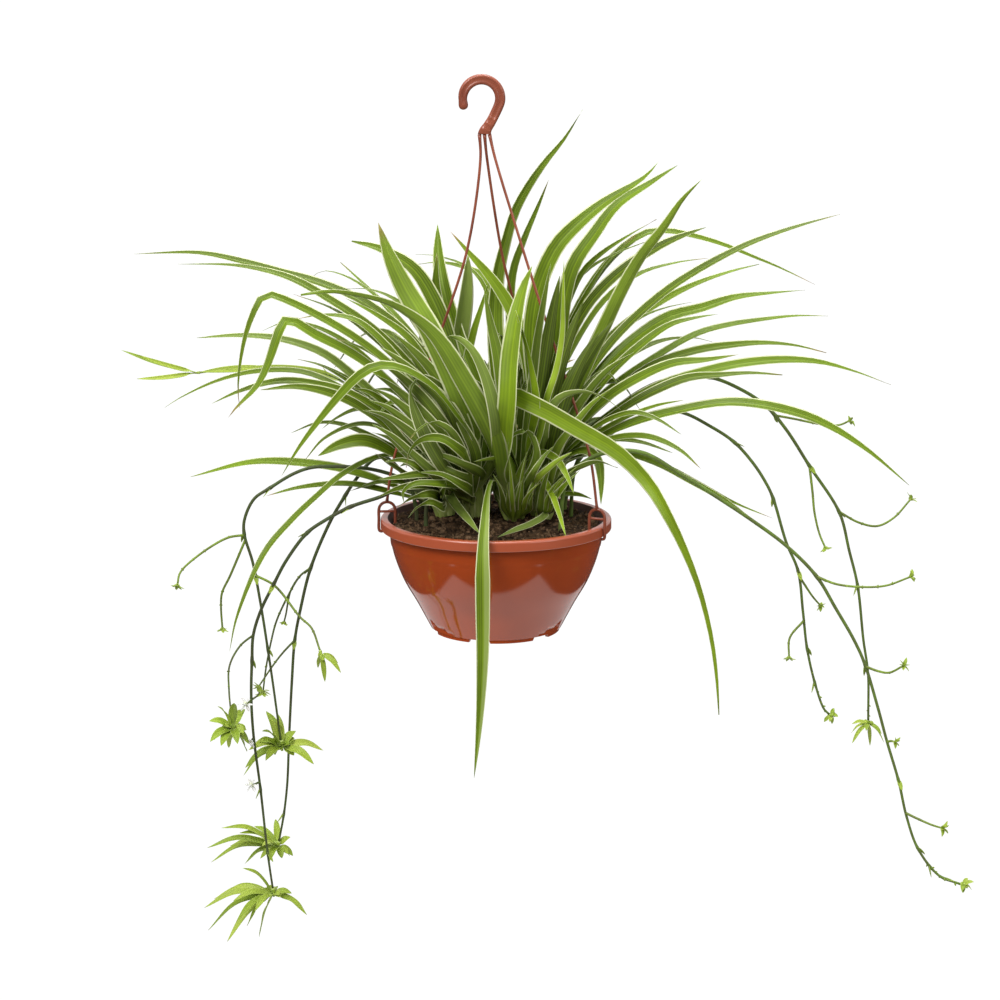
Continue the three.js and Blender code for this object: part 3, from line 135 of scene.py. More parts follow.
# A growing mesh: points, faces, and for each point a place on the material and a tint. On leaves the tint's
# first part is painted light and shade.
class Skin:
    def __init__(self):
        self.points, self.faces, self.places, self.tints = [], [], [], []

    def add(self, points, faces, places=None, tint=plainTint):
        base = len(self.points)
        self.points += [tuple(p) for p in points]
        self.faces += [tuple(base + k for k in face) for face in faces]
        self.places += places or [(0.5, 0.5)] * len(points)
        self.tints += tint if isinstance(tint, list) else [tint] * len(points)

    def tube(self, rings, places, tint=plainTint):  # a closed skin over rings of points
        sides, count = len(rings[0]), len(rings)
        faces = []
        for i in range(count - 1):
            for k in range(sides):
                a, b = i * sides + k, i * sides + (k + 1) % sides
                faces.append((a, b, b + sides, a + sides))
        faces.append(tuple(range(sides))[::-1])
        faces.append(tuple((count - 1) * sides + k for k in range(sides)))
        self.add([p for ring in rings for p in ring], faces, places, tint)

    def build(self, name, material):
        mesh = bpy.data.meshes.new(name)
        mesh.from_pydata([(p[0] * metre, p[1] * metre, p[2] * metre) for p in self.points], [], self.faces)
        corners = np.zeros(len(mesh.loops), np.int32)
        mesh.loops.foreach_get("vertex_index", corners)
        layer = mesh.uv_layers.new(name="along")
        layer.data.foreach_set("uv", np.array(self.places, np.float32)[corners].ravel())
        tint = mesh.color_attributes.new("tint", "FLOAT_COLOR", "POINT")
        tint.data.foreach_set("color", np.array(self.tints, np.float32).ravel())
        mesh.polygons.foreach_set("use_smooth", [True] * len(mesh.polygons))
        mesh.materials.append(material)
        mesh.validate()
        mesh.update()
        piece = bpy.data.objects.new(name, mesh)
        bpy.context.scene.collection.objects.link(piece)
        return piece


def toward(turn, rise=0.0):
    return vec(math.cos(turn), math.sin(turn), rise)


def titled(kind, name):  # a piece's name, such as crownMidLeft
    return kind + "".join(part.capitalize() for part in name.split("_"))


def place(piece, slot, *nodes):
    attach(piece, "root")
    if nodes:
        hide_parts(*nodes)
    return piece


def ringsAlong(course, radiusAt, sides, steps):  # round sections that don't twist
    normal = vec(0.13, 1, 0.2)
    rings = []
    for share in np.linspace(0, 1, steps + 1):
        middle, ahead = course.at(share), course.ahead(share)
        normal = unit(normal - ahead * normal.dot(ahead))
        side = np.cross(ahead, normal)
        radius = radiusAt(share)
        turns = 2 * math.pi * np.arange(sides) / sides
        rings.append([middle + radius * (normal * math.cos(t) + side * math.sin(t)) for t in turns])
    places = [(k / sides, s) for s in np.linspace(0, 1, steps + 1) for k in range(sides)]
    return rings, places


# Materials
def linear(code):  # a colour written as on the screen, for the shader
    parts = [int(code[k:k + 2], 16) / 255 for k in (1, 3, 5)]
    return tuple(c / 12.92 if c <= 0.04045 else ((c + 0.055) / 1.055) ** 2.4 for c in parts) + (1,)


def nodeIn(tree, kind, **settings):
    node = tree.nodes.new("ShaderNode" + kind)
    for key, value in settings.items():
        setattr(node, key, value)
    return node


def feed(tree, value, socket):  # a link, or a constant on the socket itself
    if hasattr(value, "is_output"):
        tree.links.new(value, socket)
    else:
        socket.default_value = value


def newGroup(name, inputs, outputs):
    group = bpy.data.node_groups.new(name, "ShaderNodeTree")
    for label, kind, value in inputs:
        socket = group.interface.new_socket(label, in_out="INPUT", socket_type="NodeSocket" + kind)
        socket.default_value = value
    for label in outputs:
        group.interface.new_socket(label, in_out="OUTPUT", socket_type="NodeSocketFloat")
    return group, group.nodes.new("NodeGroupInput"), group.nodes.new("NodeGroupOutput")


def mathNode(tree, operation, *values, clamp=False):
    node = nodeIn(tree, "Math", operation=operation, use_clamp=clamp)
    for value, socket in zip(values, node.inputs):
        feed(tree, value, socket)
    return node.outputs[0]


def vectorNode(tree, operation, a, b):
    node = nodeIn(tree, "VectorMath", operation=operation)
    feed(tree, a, node.inputs[0])
    feed(tree, b, node.inputs[1])
    return node.outputs["Value" if operation == "DOT_PRODUCT" else "Vector"]


def ramp(tree, value, low, high, smooth=True):  # 0 to 1 between two values
    node = nodeIn(tree, "MapRange", interpolation_type="SMOOTHSTEP" if smooth else "LINEAR")
    tree.links.new(value, node.inputs["Value"])
    node.inputs["From Min"].default_value = low
    node.inputs["From Max"].default_value = high
    return node.outputs["Result"]


def inverse(tree, value):
    return mathNode(tree, "SUBTRACT", 1.0, value)


def between(tree, share, low, high):  # 0 to 1 turned into a span of values
    node = nodeIn(tree, "MapRange")
    tree.links.new(share, node.inputs["Value"])
    node.inputs["To Min"].default_value = low
    node.inputs["To Max"].default_value = high
    return node.outputs["Result"]


def layered(tree, colour, look, layers):  # each layer is a colour of the look, its mask, and how much of it
    for name, mask, share in layers:
        node = nodeIn(tree, "Mix", data_type="RGBA")
        cover = mathNode(tree, "MULTIPLY", mask, share, clamp=True)
        for value, slot in ((cover, 0), (colour, 6), (linear(look[name]), 7)):
            feed(tree, value, node.inputs[slot])
        colour = node.outputs[2]
    return colour


def makeMottleGroup():  # uneven patches at a size, for colour, roughness and height
    inputs = [("Size", "Float", 40.0), ("Fine", "Float", 400.0), ("Stretch", "Vector", (1, 1, 1))]
    group, ins, outs = newGroup("unevenness", inputs, ["Broad", "Grain"])
    coords = nodeIn(group, "TexCoord")
    stretched = vectorNode(group, "MULTIPLY", coords.outputs["Object"], ins.outputs["Stretch"])
    for label, source in (("Broad", "Size"), ("Grain", "Fine")):
        texture = nodeIn(group, "TexNoise")
        group.links.new(stretched, texture.inputs["Vector"])
        group.links.new(ins.outputs[source], texture.inputs["Scale"])
        texture.inputs["Detail"].default_value = 2
        group.links.new(ramp(group, texture.outputs["Fac"], 0.3, 0.7), outs.inputs[label])
    return group


stripe = dict(drift=30, wander=0.1, midrib=0.12)  # how the margins waver, and how wide the midrib is


def makeStripeGroup():  # a long leaf: pale margins, midrib and fine veins along it
    inputs = [("Margin", "Float", 0.84), ("Soft", "Float", 0.08), ("Veins", "Float", 9.0)]
    group, ins, outs = newGroup("leafStripes", inputs, ["Margin", "Midrib", "Vein", "Along"])
    uv = nodeIn(group, "UVMap", uv_map="along")
    parts = nodeIn(group, "SeparateXYZ")
    group.links.new(uv.outputs[0], parts.inputs[0])
    across = parts.outputs["X"]
    offMiddle = mathNode(group, "ABSOLUTE", mathNode(group, "SUBTRACT", across, 0.5))
    fromMiddle = mathNode(group, "MULTIPLY", offMiddle, 2.0)
    drift = nodeIn(group, "TexNoise")
    coords = nodeIn(group, "TexCoord")
    group.links.new(coords.outputs["Object"], drift.inputs["Vector"])
    drift.inputs["Scale"].default_value = stripe["drift"]
    offset = mathNode(group, "SUBTRACT", drift.outputs["Fac"], 0.5)
    edge = mathNode(group, "ADD", fromMiddle, mathNode(group, "MULTIPLY", offset, stripe["wander"]))
    past = mathNode(group, "SUBTRACT", edge, ins.outputs["Margin"])
    margin = mathNode(group, "DIVIDE", past, ins.outputs["Soft"], clamp=True)
    midrib = inverse(group, ramp(group, fromMiddle, 0.0, stripe["midrib"]))
    counted = mathNode(group, "MULTIPLY", across, ins.outputs["Veins"])
    wave = mathNode(group, "SINE", mathNode(group, "MULTIPLY", counted, 2 * math.pi))
    vein = mathNode(group, "MULTIPLY_ADD", wave, 0.5, 0.5)
    for label, value in dict(Margin=margin, Midrib=midrib, Vein=vein, Along=parts.outputs["Y"]).items():
        group.links.new(value, outs.inputs[label])
    return group


mottleGroup = makeMottleGroup()
stripeGroup = makeStripeGroup()


def startMaterial(name, look):
    material = bpy.data.materials.new(name)
    material.use_nodes = True
    tree = material.node_tree
    tree.nodes.clear()
    shader = nodeIn(tree, "BsdfPrincipled")
    shader.inputs["Roughness"].default_value = look["rough"]
    shader.inputs["Specular IOR Level"].default_value = look.get("gloss", 0.5)
    shader.inputs["IOR"].default_value = look.get("ior", 1.5)
    output = nodeIn(tree, "OutputMaterial")
    tree.links.new(shader.outputs[0], output.inputs["Surface"])
    return material, tree, shader


def groupIn(tree, group, **values):
    node = tree.nodes.new("ShaderNodeGroup")
    node.node_tree = group
    for key, value in values.items():
        node.inputs[key].default_value = value
    return node.outputs


def tintParts(tree):
    tint = nodeIn(tree, "Attribute", attribute_name="tint")
    parts = nodeIn(tree, "SeparateColor")
    tree.links.new(tint.outputs["Color"], parts.inputs[0])
    return parts.outputs[:3]


def bumpOn(tree, shader, height, strength, distance):
    bump = nodeIn(tree, "Bump")
    bump.inputs["Strength"].default_value = strength
    bump.inputs["Distance"].default_value = distance
    tree.links.new(height, bump.inputs["Height"])
    tree.links.new(bump.outputs[0], shader.inputs["Normal"])


plastic = dict(
    pot=dict(body="#B2481A", shade="#A04015", rough=0.09, ior=1.75, size=9.0, fine=160.0,
             lip="#B55431", lipRough=0.32, lipFrom=-0.4405, lipSoft=0.0008,
             # inside is painted shade: the dark colour of the inner wall above the soil
             inside="#4A2114", insideRough=0.9, insideFrom=(0.2, 0.6), axis=0.014),
    hanger=dict(body="#A45A42", shade="#83412D", rough=0.3, size=30.0, fine=200.0),
    roughSpread=(0.8, 1.25), bump=(0.1, 0.00002), facingScale=-10.0,
)


def lipAndInside(tree, look):  # masks of the lip's satin skin and of the wall within it, which is painted dark as shade
    coords = nodeIn(tree, "TexCoord").outputs
    parts = nodeIn(tree, "SeparateXYZ")
    tree.links.new(coords["Object"], parts.inputs[0])
    lip = ramp(tree, parts.outputs["Z"], look["lipFrom"] - look["lipSoft"], look["lipFrom"])
    fromAxis = vectorNode(tree, "SUBTRACT", coords["Object"], (look["axis"], 0, 0))
    flat = vectorNode(tree, "MULTIPLY", fromAxis, (1, 1, 0))
    inward = mathNode(tree, "MULTIPLY", vectorNode(tree, "DOT_PRODUCT", flat, coords["Normal"]),
                      plastic["facingScale"])
    return lip, ramp(tree, inward, *look["insideFrom"])


def makePlastic(name, look):
    material, tree, shader = startMaterial(name, look)
    uneven = groupIn(tree, mottleGroup, Size=look["size"], Fine=look["fine"])
    colour = layered(tree, linear(look["body"]), look, [("shade", uneven["Broad"], 1.0)])
    rough = between(tree, uneven["Broad"], *(look["rough"] * share for share in plastic["roughSpread"]))
    if "lip" in look:
        lip, inside = lipAndInside(tree, look)
        # the inside layer paints the inner wall dark as shade, and makes it rough
        colour = layered(tree, colour, look, [("lip", lip, 1.0), ("inside", inside, 1.0)])
        satin = mathNode(tree, "MULTIPLY", lip, look["lipRough"])
        dullInside = mathNode(tree, "MULTIPLY", inside, look["insideRough"])
        rough = mathNode(tree, "MAXIMUM", rough, mathNode(tree, "MAXIMUM", satin, dullInside))
    tree.links.new(colour, shader.inputs["Base Color"])
    tree.links.new(rough, shader.inputs["Roughness"])
    bumpOn(tree, shader, uneven["Grain"], *plastic["bump"])
    return material


leafLook = dict(
    dark="#38460B", mid="#6A851A", bright="#A3C02C", under="#93A45C", margin="#E0E4B4",
    sheath="#B7C473", dry="#A07E54", rough=0.42, gloss=0.2, edge=0.83, soft=0.06, veins=7.0,
    marginShare=0.9, sheathTo=(0.03, 0.2), dryFrom=(0.93, 0.985), size=26.0, bump=(0.2, 0.0006),
)
plantletLook = dict(leafLook, dark="#647E28", mid="#94AE34", bright="#BACC56", under="#A2B560",
                    margin="#D9E890", sheath="#C8DC84", edge=0.9, veins=6.0, marginShare=0.5)


def makeLeaf(name, look):
    material, tree, shader = startMaterial(name, look)
    light, dryness, below = tintParts(tree)
    stripes = groupIn(tree, stripeGroup, Margin=look["edge"], Soft=look["soft"], Veins=look["veins"])
    uneven = groupIn(tree, mottleGroup, Size=look["size"])
    # the tint's light paints each blade from dark to bright: painted shade and painted light, beside real
    # differences of tone
    colour = layered(tree, linear(look["dark"]), look, [
        ("mid", ramp(tree, light, 0.0, 0.55, smooth=False), 1.0),
        ("bright", ramp(tree, light, 0.5, 1.0, smooth=False), 1.0),
        ("dark", uneven["Broad"], 0.35),
        ("bright", stripes["Vein"], 0.22),
        ("bright", stripes["Midrib"], 0.35),
        ("under", below, 0.5),
        ("margin", stripes["Margin"], look["marginShare"]),
        ("sheath", inverse(tree, ramp(tree, stripes["Along"], *look["sheathTo"])), 0.75),
        ("dry", ramp(tree, stripes["Along"], *look["dryFrom"]), dryness),
    ])
    tree.links.new(colour, shader.inputs["Base Color"])
    bumpOn(tree, shader, uneven["Broad"], *look["bump"])
    return material


stemLook = dict(dark="#3C4530", light="#6F8A35", fresh="#9CB83C", shade="#4A3E33", rough=0.5, gloss=0.25,
                size=70.0, fine=150.0, bump=(0.2, 0.0002))


def makeStem(name, look):
    material, tree, shader = startMaterial(name, look)
    light, fresh, _ = tintParts(tree)
    uneven = groupIn(tree, mottleGroup, Size=look["size"], Fine=look["fine"])
    layers = [("light", light, 1.0), ("fresh", fresh, 1.0), ("shade", uneven["Broad"], 0.45)]
    tree.links.new(layered(tree, linear(look["dark"]), look, layers), shader.inputs["Base Color"])
    bumpOn(tree, shader, uneven["Grain"], *look["bump"])
    return material


petalLook = dict(body="#F6F6F2", throat="#DCE6B8", rough=0.55, throatTo=0.35)


def makePetal(name, look):
    material, tree, shader = startMaterial(name, look)
    stripes = groupIn(tree, stripeGroup)
    foot = inverse(tree, ramp(tree, stripes["Along"], 0.0, look["throatTo"]))
    colour = layered(tree, linear(look["body"]), look, [("throat", foot, 1.0)])
    tree.links.new(colour, shader.inputs["Base Color"])
    return material


soilLook = dict(dark="#291C12", mid="#543F2B", crumb="#84694F", rough=0.95, gloss=0.15, size=95.0, fine=420.0,
                fibre=210.0, stretch=(1.0, 0.35, 1.0), bump=(0.9, 0.0012))


def makeSoilFinish(name, look):
    material, tree, shader = startMaterial(name, look)
    coarse = groupIn(tree, mottleGroup, Size=look["size"], Fine=look["fine"])
    fibre = groupIn(tree, mottleGroup, Size=look["fibre"], Stretch=look["stretch"])
    crumb = tintParts(tree)[1]
    layers = [("mid", coarse["Broad"], 1.0), ("crumb", ramp(tree, fibre["Broad"], 0.55, 0.95), 0.7),
              ("crumb", crumb, 1.0)]
    tree.links.new(layered(tree, linear(look["dark"]), look, layers), shader.inputs["Base Color"])
    bumpOn(tree, shader, mathNode(tree, "ADD", coarse["Grain"], coarse["Broad"]), *look["bump"])
    return material


finishes = dict(
    pot=makePlastic("potPlastic", plastic["pot"]),
    hanger=makePlastic("hangerPlastic", plastic["hanger"]),
    leaf=makeLeaf("stripedLeaf", leafLook),
    plantlet=makeLeaf("youngLeaf", plantletLook),
    stem=makeStem("runnerStem", stemLook),
    petal=makePetal("whitePetal", petalLook),
    soil=makeSoilFinish("pottingSoil", soilLook),
)
print("materials made")


# Pot: an upright hanging pot with a turned-down lip and a notched foot ring
pot = dict(
    axis=14.0, height=115.0, rimTop=-429.5, wallThick=2.0, segments=288, edge=0.4, edgeAngle=32,
    lip=115.5, lipInner=108.0, skirt=10.5, skirtThick=1.8, lipRound=2.6, lipSlope=1.6, beadFrom=100,
    beadSteps=9, foot=64.0, footRing=4.0, footHeight=4.0, floorFlat=30.0,
    notches=6, notchWidth=21.0, notchHeight=3.4, notchSoft=(0.012, 0.004),
    wall=[(66, 4), (79.5, 29.5), (93.8, 55), (104.3, 86), (105.6, 106)], wallInnerFrom=7.0,
    stepAt=(87.5, 88.5), stepBack=(100, 106), stepOut=0.7,
    recess=dict(start=34.0, end=68.0, low=5.0, high=16.0, radius=66.4, above=2.0, steep=12.0),
)
pot["base"] = pot["rimTop"] - pot["height"]


def around(radius, turn):  # across and depth of a place at a distance from the pot's axis
    return pot["axis"] + radius * math.cos(turn), radius * math.sin(turn)


def potProfile():  # from the middle of its underside, up the outside, over the lip and down the inside
    wall = Course([(r, 0, z) for r, z in pot["wall"]], perSpan=10).points[:, (0, 2)]
    edge, floor, thick = pot["edge"], pot["footHeight"], pot["wallThick"]
    top, inner, lip, around = pot["height"], pot["lipInner"], pot["lip"], pot["lipRound"]
    outer, ring = pot["foot"], pot["foot"] - pot["footRing"]
    skirt, inSkirt = top - pot["skirt"], lip - pot["skirtThick"]
    line = [(0, floor), (pot["floorFlat"], floor), (ring, floor), (ring, 0.3), (ring + edge, 0),
            (outer - edge, 0), (outer, edge), (outer + edge, 3.2)]
    for r, z in wall:
        line.append((r + pot["stepOut"] * (eased(z, *pot["stepAt"]) - eased(z, *pot["stepBack"])), z))
    line += [(inner + edge, top - 3.4), (inner + pot["lipSlope"], top - thick - 0.6), (inSkirt, top - thick),
             (inSkirt, skirt + 0.3), (inSkirt + 0.3, skirt), (lip - 0.5, skirt), (lip, skirt + 0.5)]
    line += [(lip - around + around * math.sin(a), top - around + around * math.cos(a))
             for a in np.linspace(math.radians(pot["beadFrom"]), 0, pot["beadSteps"])]
    line += [(inner + pot["lipSlope"], top), (inner + 0.5, top - 0.4), (inner, top - 1.2),
             (inner - edge, top - 2)]
    line += [(r - thick, z) for r, z in wall if z > pot["wallInnerFrom"]][::-1]
    return line + [(outer - 0.5, floor + thick), (0, floor + thick)]


def recessRadius(turn, z):  # two upright recesses low in the wall, one on each side of the front
    recess = pot["recess"]
    aside = abs((math.degrees(turn) + 90 + 180) % 360 - 180)
    share = (aside - recess["start"]) / (recess["end"] - recess["start"])
    if 0 < share < 1 and z >= recess["above"]:
        top = mixed(recess["low"], recess["high"], share) * min(1, recess["steep"] * (1 - share))
        if z < top:
            return recess["radius"]
    return math.inf


def makePot():
    line = potProfile()
    size, count = len(line), pot["segments"]
    half = pot["notchWidth"] / 2 / pot["foot"]
    sector = 2 * math.pi / pot["notches"]
    points, places, faces = [], [], []
    for i in range(count):
        turn = 2 * math.pi * i / count
        for k, (r, z) in enumerate(line):
            if z < pot["footHeight"] and r > pot["floorFlat"]:  # the foot ring stops at each notch
                off = (turn - sector * 0.25 + sector / 2) % sector - sector / 2
                inNotch = 1 - eased(abs(off), half - pot["notchSoft"][0], half + pot["notchSoft"][1])
                z = max(z, pot["notchHeight"] * inNotch)
            if k < size // 2:
                r = min(r, recessRadius(turn, z))
            points.append((*around(r, turn), pot["base"] + z))
            places.append((i / count, k / size))
    for i in range(count):
        for k in range(size - 1):
            a, b = i * size + k, (i + 1) % count * size + k
            faces.append((a, b, b + 1, a + 1))
    skin = Skin()
    skin.add(points, faces, places)
    piece = skin.build("potBody", finishes["pot"])
    bevel = piece.modifiers.new("corners", "WEIGHTED_NORMAL")
    bevel.keep_sharp = True
    piece.data.set_sharp_from_angle(angle=math.radians(pot["edgeAngle"]))
    return place(piece, "pot_plastic", "pot")


# Soil: loose mix with lumps, a little mounded. A crumb is a rough ball of three rows of corners.
soil = dict(
    below=9.0, mound=5.0, moundReach=101.5, banked=4.5, bankedFrom=(0.72, 0.97), radius=103.4,
    rings=70, spokes=220, bottom=(92.0, 55.0),
    lumps=[(0.045, 3.1, 2.6), (0.13, 9.7, 1.5), (0.42, 1.3, 0.7)],  # pitch, layer, height
    crumbs=620, crumbReach=98.0, crumbSides=6, small=(0.9, 2.6), large=(2.6, 4.2), smallShare=0.9, narrow=0.7,
)


def soilTop(x, y):
    share = min(1.0, math.hypot(x - pot["axis"], y) / soil["moundReach"])
    return pot["rimTop"] - soil["below"] + soil["mound"] * (1 - share * share)


def soilLump(x, y):
    share = math.hypot(x - pot["axis"], y) / soil["radius"]
    lumps = sum(noise.noise(Vector((x * pitch, y * pitch, layer))) * height
                for pitch, layer, height in soil["lumps"])
    return lumps + soil["banked"] * eased(share, *soil["bankedFrom"])


def addCrumb(skin, draw):
    sides = soil["crumbSides"]
    x, y = around(soil["crumbReach"] * math.sqrt(draw.random()), 2 * math.pi * draw.random())
    size = draw.uniform(*(soil["small"] if draw.random() < soil["smallShare"] else soil["large"]))
    flat, lean = draw.uniform(0.45, 0.9), draw.uniform(0, math.pi)
    middle = vec(x, y, soilTop(x, y) + soilLump(x, y) + size * 0.25)
    points = []
    for row in range(1, 4):
        down = math.pi * row / 4
        for k in range(sides):
            side = 2 * math.pi * (k + 0.5 * row) / sides
            rough = size * draw.uniform(0.75, 1.15)
            dx = rough * math.sin(down) * math.cos(side)
            dy = rough * soil["narrow"] * math.sin(down) * math.sin(side)
            points.append(middle + vec(dx * math.cos(lean) - dy * math.sin(lean),
                                       dx * math.sin(lean) + dy * math.cos(lean),
                                       rough * flat * math.cos(down)))
    points += [middle + vec(0, 0, size * flat), middle - vec(0, 0, size * flat)]
    faces = []
    for row in range(2):
        for k in range(sides):
            a, b = row * sides + k, row * sides + (k + 1) % sides
            faces.append((a, a + sides, b + sides, b))
    faces += [(3 * sides, k, (k + 1) % sides) for k in range(sides)]
    faces += [(3 * sides + 1, 2 * sides + (k + 1) % sides, 2 * sides + k) for k in range(sides)]
    skin.add(points, faces, None, (0.5, draw.random() ** 3 * 0.9, 0, 1))


def makeSoil():
    skin = Skin()
    rings, spokes, axis = soil["rings"], soil["spokes"], pot["axis"]
    turns = [2 * math.pi * k / spokes for k in range(spokes)]
    points, places = [vec(axis, 0, soilTop(axis, 0) + soilLump(axis, 0))], [(0.5, 0.5)]
    for i in range(1, rings + 1):
        radius = soil["radius"] * i / rings
        for turn in turns:
            x, y = around(radius, turn)
            points.append(vec(x, y, soilTop(x, y) + soilLump(x, y) * (1 if i < rings else 0.4)))
            places.append((0.5, i / rings))
    foot = len(points)
    low, deep = soil["bottom"]
    points += [vec(*around(low, turn), pot["rimTop"] - deep) for turn in turns]
    places += [(0.5, 1)] * spokes
    faces = [(0, 1 + k, 1 + (k + 1) % spokes) for k in range(spokes)]
    for i in range(rings):
        for k in range(spokes):
            a, b = 1 + i * spokes + k, 1 + i * spokes + (k + 1) % spokes
            faces.append((a, a + spokes, b + spokes, b))
    faces.append(tuple(foot + k for k in range(spokes))[::-1])
    skin.add(points, faces, places, (0.4, 0, 0, 1))
    draw = random.Random(4)
    for _ in range(soil["crumbs"]):
        addCrumb(skin, draw)
    return place(skin.build("soilTop", finishes["soil"]), "soil", "soil")


# Hanger: a hook and three strands, each ending in a clip over the lip
hook = dict(
    throat=13.1, width=10.2, arcStart=180.0, arcEnd=-27.0, arcStep=12, nose=[(0.9, -11.2), (0.5, -6.0)],
    bend=(10.0, -34.4), foot=(2.9, -47.9), steps=150, crowded=1.15, sides=32, square=0.72,
    # share along the hook, width and thickness there
    stations=[(0, 2.2, 2), (0.006, 5.2, 4.6), (0.014, 7.2, 6.2), (0.026, 8.7, 7.3), (0.045, 9.3, 7.7),
              (0.07, 8.9, 7.7), (0.09, 8.4, 7.6), (0.17, 9.6, 8), (0.26, 10.2, 8), (0.66, 10.2, 8),
              (0.74, 10, 8), (0.84, 9.8, 8), (0.93, 10.4, 7), (1, 13.2, 6)],
    groove=0.15, grooveWide=0.2, grooveStart=(0.02, 0.09), grooveEnd=(0.82, 0.9),
    ribs=(0.84, 0.9, 0.96), ribOut=0.5, ribWide=0.012,
)


def makeHook():
    radius = hook["throat"] + hook["width"] / 2
    footX, footZ = hook["foot"]
    line = [vec(x - radius, 0, z - hook["throat"]) for x, z in hook["nose"]]
    for angle in np.arange(hook["arcStart"], hook["arcEnd"] - 1e-6, -hook["arcStep"]):
        turn = math.radians(angle)
        line.append(vec(radius * math.cos(turn), 0, radius * math.sin(turn) - hook["throat"]))
    line += [vec(hook["bend"][0], 0, hook["bend"][1]), vec(footX + 1, 0, footZ + 3.4), vec(footX, 0, footZ)]
    course = Course(line)
    shares, widths, thicks = zip(*hook["stations"])
    side = vec(0, 1, 0)
    rings, places = [], []
    for i in range(hook["steps"] + 1):
        share = (i / hook["steps"]) ** hook["crowded"]
        width, thick = np.interp(share, shares, widths), np.interp(share, shares, thicks)
        ahead = course.ahead(share) if share < 1 else vec(0, 0, -1)
        outward = np.cross(side, ahead)
        groove = hook["groove"] * eased(share, *hook["grooveStart"]) * (1 - eased(share, *hook["grooveEnd"]))
        rib = sum(math.exp(-((share - at) / hook["ribWide"]) ** 2) for at in hook["ribs"]) * hook["ribOut"]
        ring = []
        for k in range(hook["sides"]):
            turn = 2 * math.pi * k / hook["sides"]
            c, s = math.cos(turn), math.sin(turn)
            w = math.copysign(abs(c) ** hook["square"], c) * width / 2
            t = math.copysign(abs(s) ** hook["square"], s) * (thick / 2 + rib * abs(s))
            dent = groove * thick * math.exp(-(w / (width * hook["grooveWide"])) ** 4)
            t -= math.copysign(min(dent, abs(t)), t)
            ring.append(course.at(share) + outward * w + side * t)
            places.append((k / hook["sides"], share))
        rings.append(ring)
    skin = Skin()
    skin.tube(rings, places)
    return place(skin.build("hangerHook", finishes["hanger"]), "hanger_plastic", "hanger_hook")


strand = dict(
    thick=2.7, swell=(0.45, 0.35), swellFrom=(60, 0.985), seat=0.3,
    clipWire=3.0, clipInner=101.0, sides=14, rise=8.8, bar=7.4, inside=(-6, 1),
    lug=[(0, 2.4), (1, 0.4), (3.6, 0)],
    routes=dict(
        left=(185, [(479.5, 135.3), (480.5, 158), (468, 246), (446, 317), (398, 444), (391, 472)]),
        right=(-24, [(489.5, 135.3), (494.8, 157), (515.8, 226.5), (540, 303), (577.5, 414), (590.4, 458.6)]),
        back=(63, [(484.5, 135.3), (486.8, 157), (501.6, 252), (511.8, 295), (535, 400), (543, 445)]),
    ),
)


def makeStrand(name, azimuth, route):
    seat, wire, inner = strand["seat"], strand["clipWire"], strand["clipInner"]
    leg = pot["lip"] + seat + wire / 2
    archRadius = (leg - inner) / 2
    middle = inner + archRadius
    turn = math.radians(azimuth)

    def at(radius, rise):
        return vec(*around(radius, turn), pot["rimTop"] + rise)

    arch = [at(middle + archRadius * math.cos(a), strand["rise"] + archRadius * math.sin(a))
            for a in np.linspace(math.pi, 0, 7)]
    lug = -pot["skirt"] - 3 * seat - wire / 2
    clip = Course([*[at(inner, z) for z in strand["inside"]], *arch, at(leg, 0),
                   *[at(leg - back, lug + up) for back, up in strand["lug"]]])
    bar = Course([at(inner, strand["bar"]), at(leg, strand["bar"])])
    archTop = at(middle, strand["rise"] + archRadius)
    topDown, archDown = route[0][1], onSheet(archTop)[1]
    places = [seen(p, archTop[1] * (p[1] - topDown) / (archDown - topDown)) for p in route]
    places[0][2] = hook["foot"][1] - seat

    def thickAt(share):
        atHook, atClip = strand["swell"]
        fade, clipFrom = strand["swellFrom"]
        swell = atHook * math.exp(-share * fade) + atClip * eased(share, clipFrom, 1)
        return strand["thick"] / 2 * (1 + swell)

    skin = Skin()
    skin.tube(*ringsAlong(Course([*places, archTop]), thickAt, strand["sides"], 90))
    skin.tube(*ringsAlong(clip, lambda s: wire / 2, strand["sides"], 70))
    skin.tube(*ringsAlong(bar, lambda s: wire / 2 - 0.2, 12, 4))
    piece = skin.build(titled("hangerStrand", name), finishes["hanger"])
    return place(piece, "hanger_plastic", "hanger_strand_" + name)


makePot()
makeSoil()
makeHook()
for name, (azimuth, route) in strand["routes"].items():
    makeStrand(name, azimuth, route)
print("pot, soil and hanger made")


# Blades: folded, tapered strips. A shape says where a blade is widest, how wide its foot is, and how it
# narrows to its tip, or that its width follows a part of an arch.
blade = dict(
    broadFrom=13, broadFold=28.0, narrowFold=46.0, openFold=18, stations=34, across=4, thick=0.7,
    tipThin=0.45, edgeThin=0.75, end=0.998, hollow=(1.25, 0.4), sway=0.12, ripple=0.05,
    foot=10.0, bundle=30.0, bundleTaper=0.55, rootDeep=9, rootOut=0.25, collarOut=0.8,
    shown=0.78, upFirst=1.25, wider=1.06,
)
shapes = dict(
    usual=dict(widest=0.36, foot=0.62, taper=2.6, blunt=0.9),
    early=dict(widest=0.12, foot=0.75, taper=1.8),
    late=dict(widest=0.5, foot=0.06, taper=1.7, blunt=0.9, swell=1.6),
    full=dict(widest=0.5, foot=0.6, taper=4),
    tapered=dict(widest=0.2, foot=0.75, taper=1.6),
    young=dict(widest=0.35, grown=0.3, foot=0.55, taper=2.2, blunt=0.9),
    bract=dict(arched=(0.18, 0.82), blunt=0.8),
    petal=dict(arched=(0.12, 0.86), blunt=0.7),
)


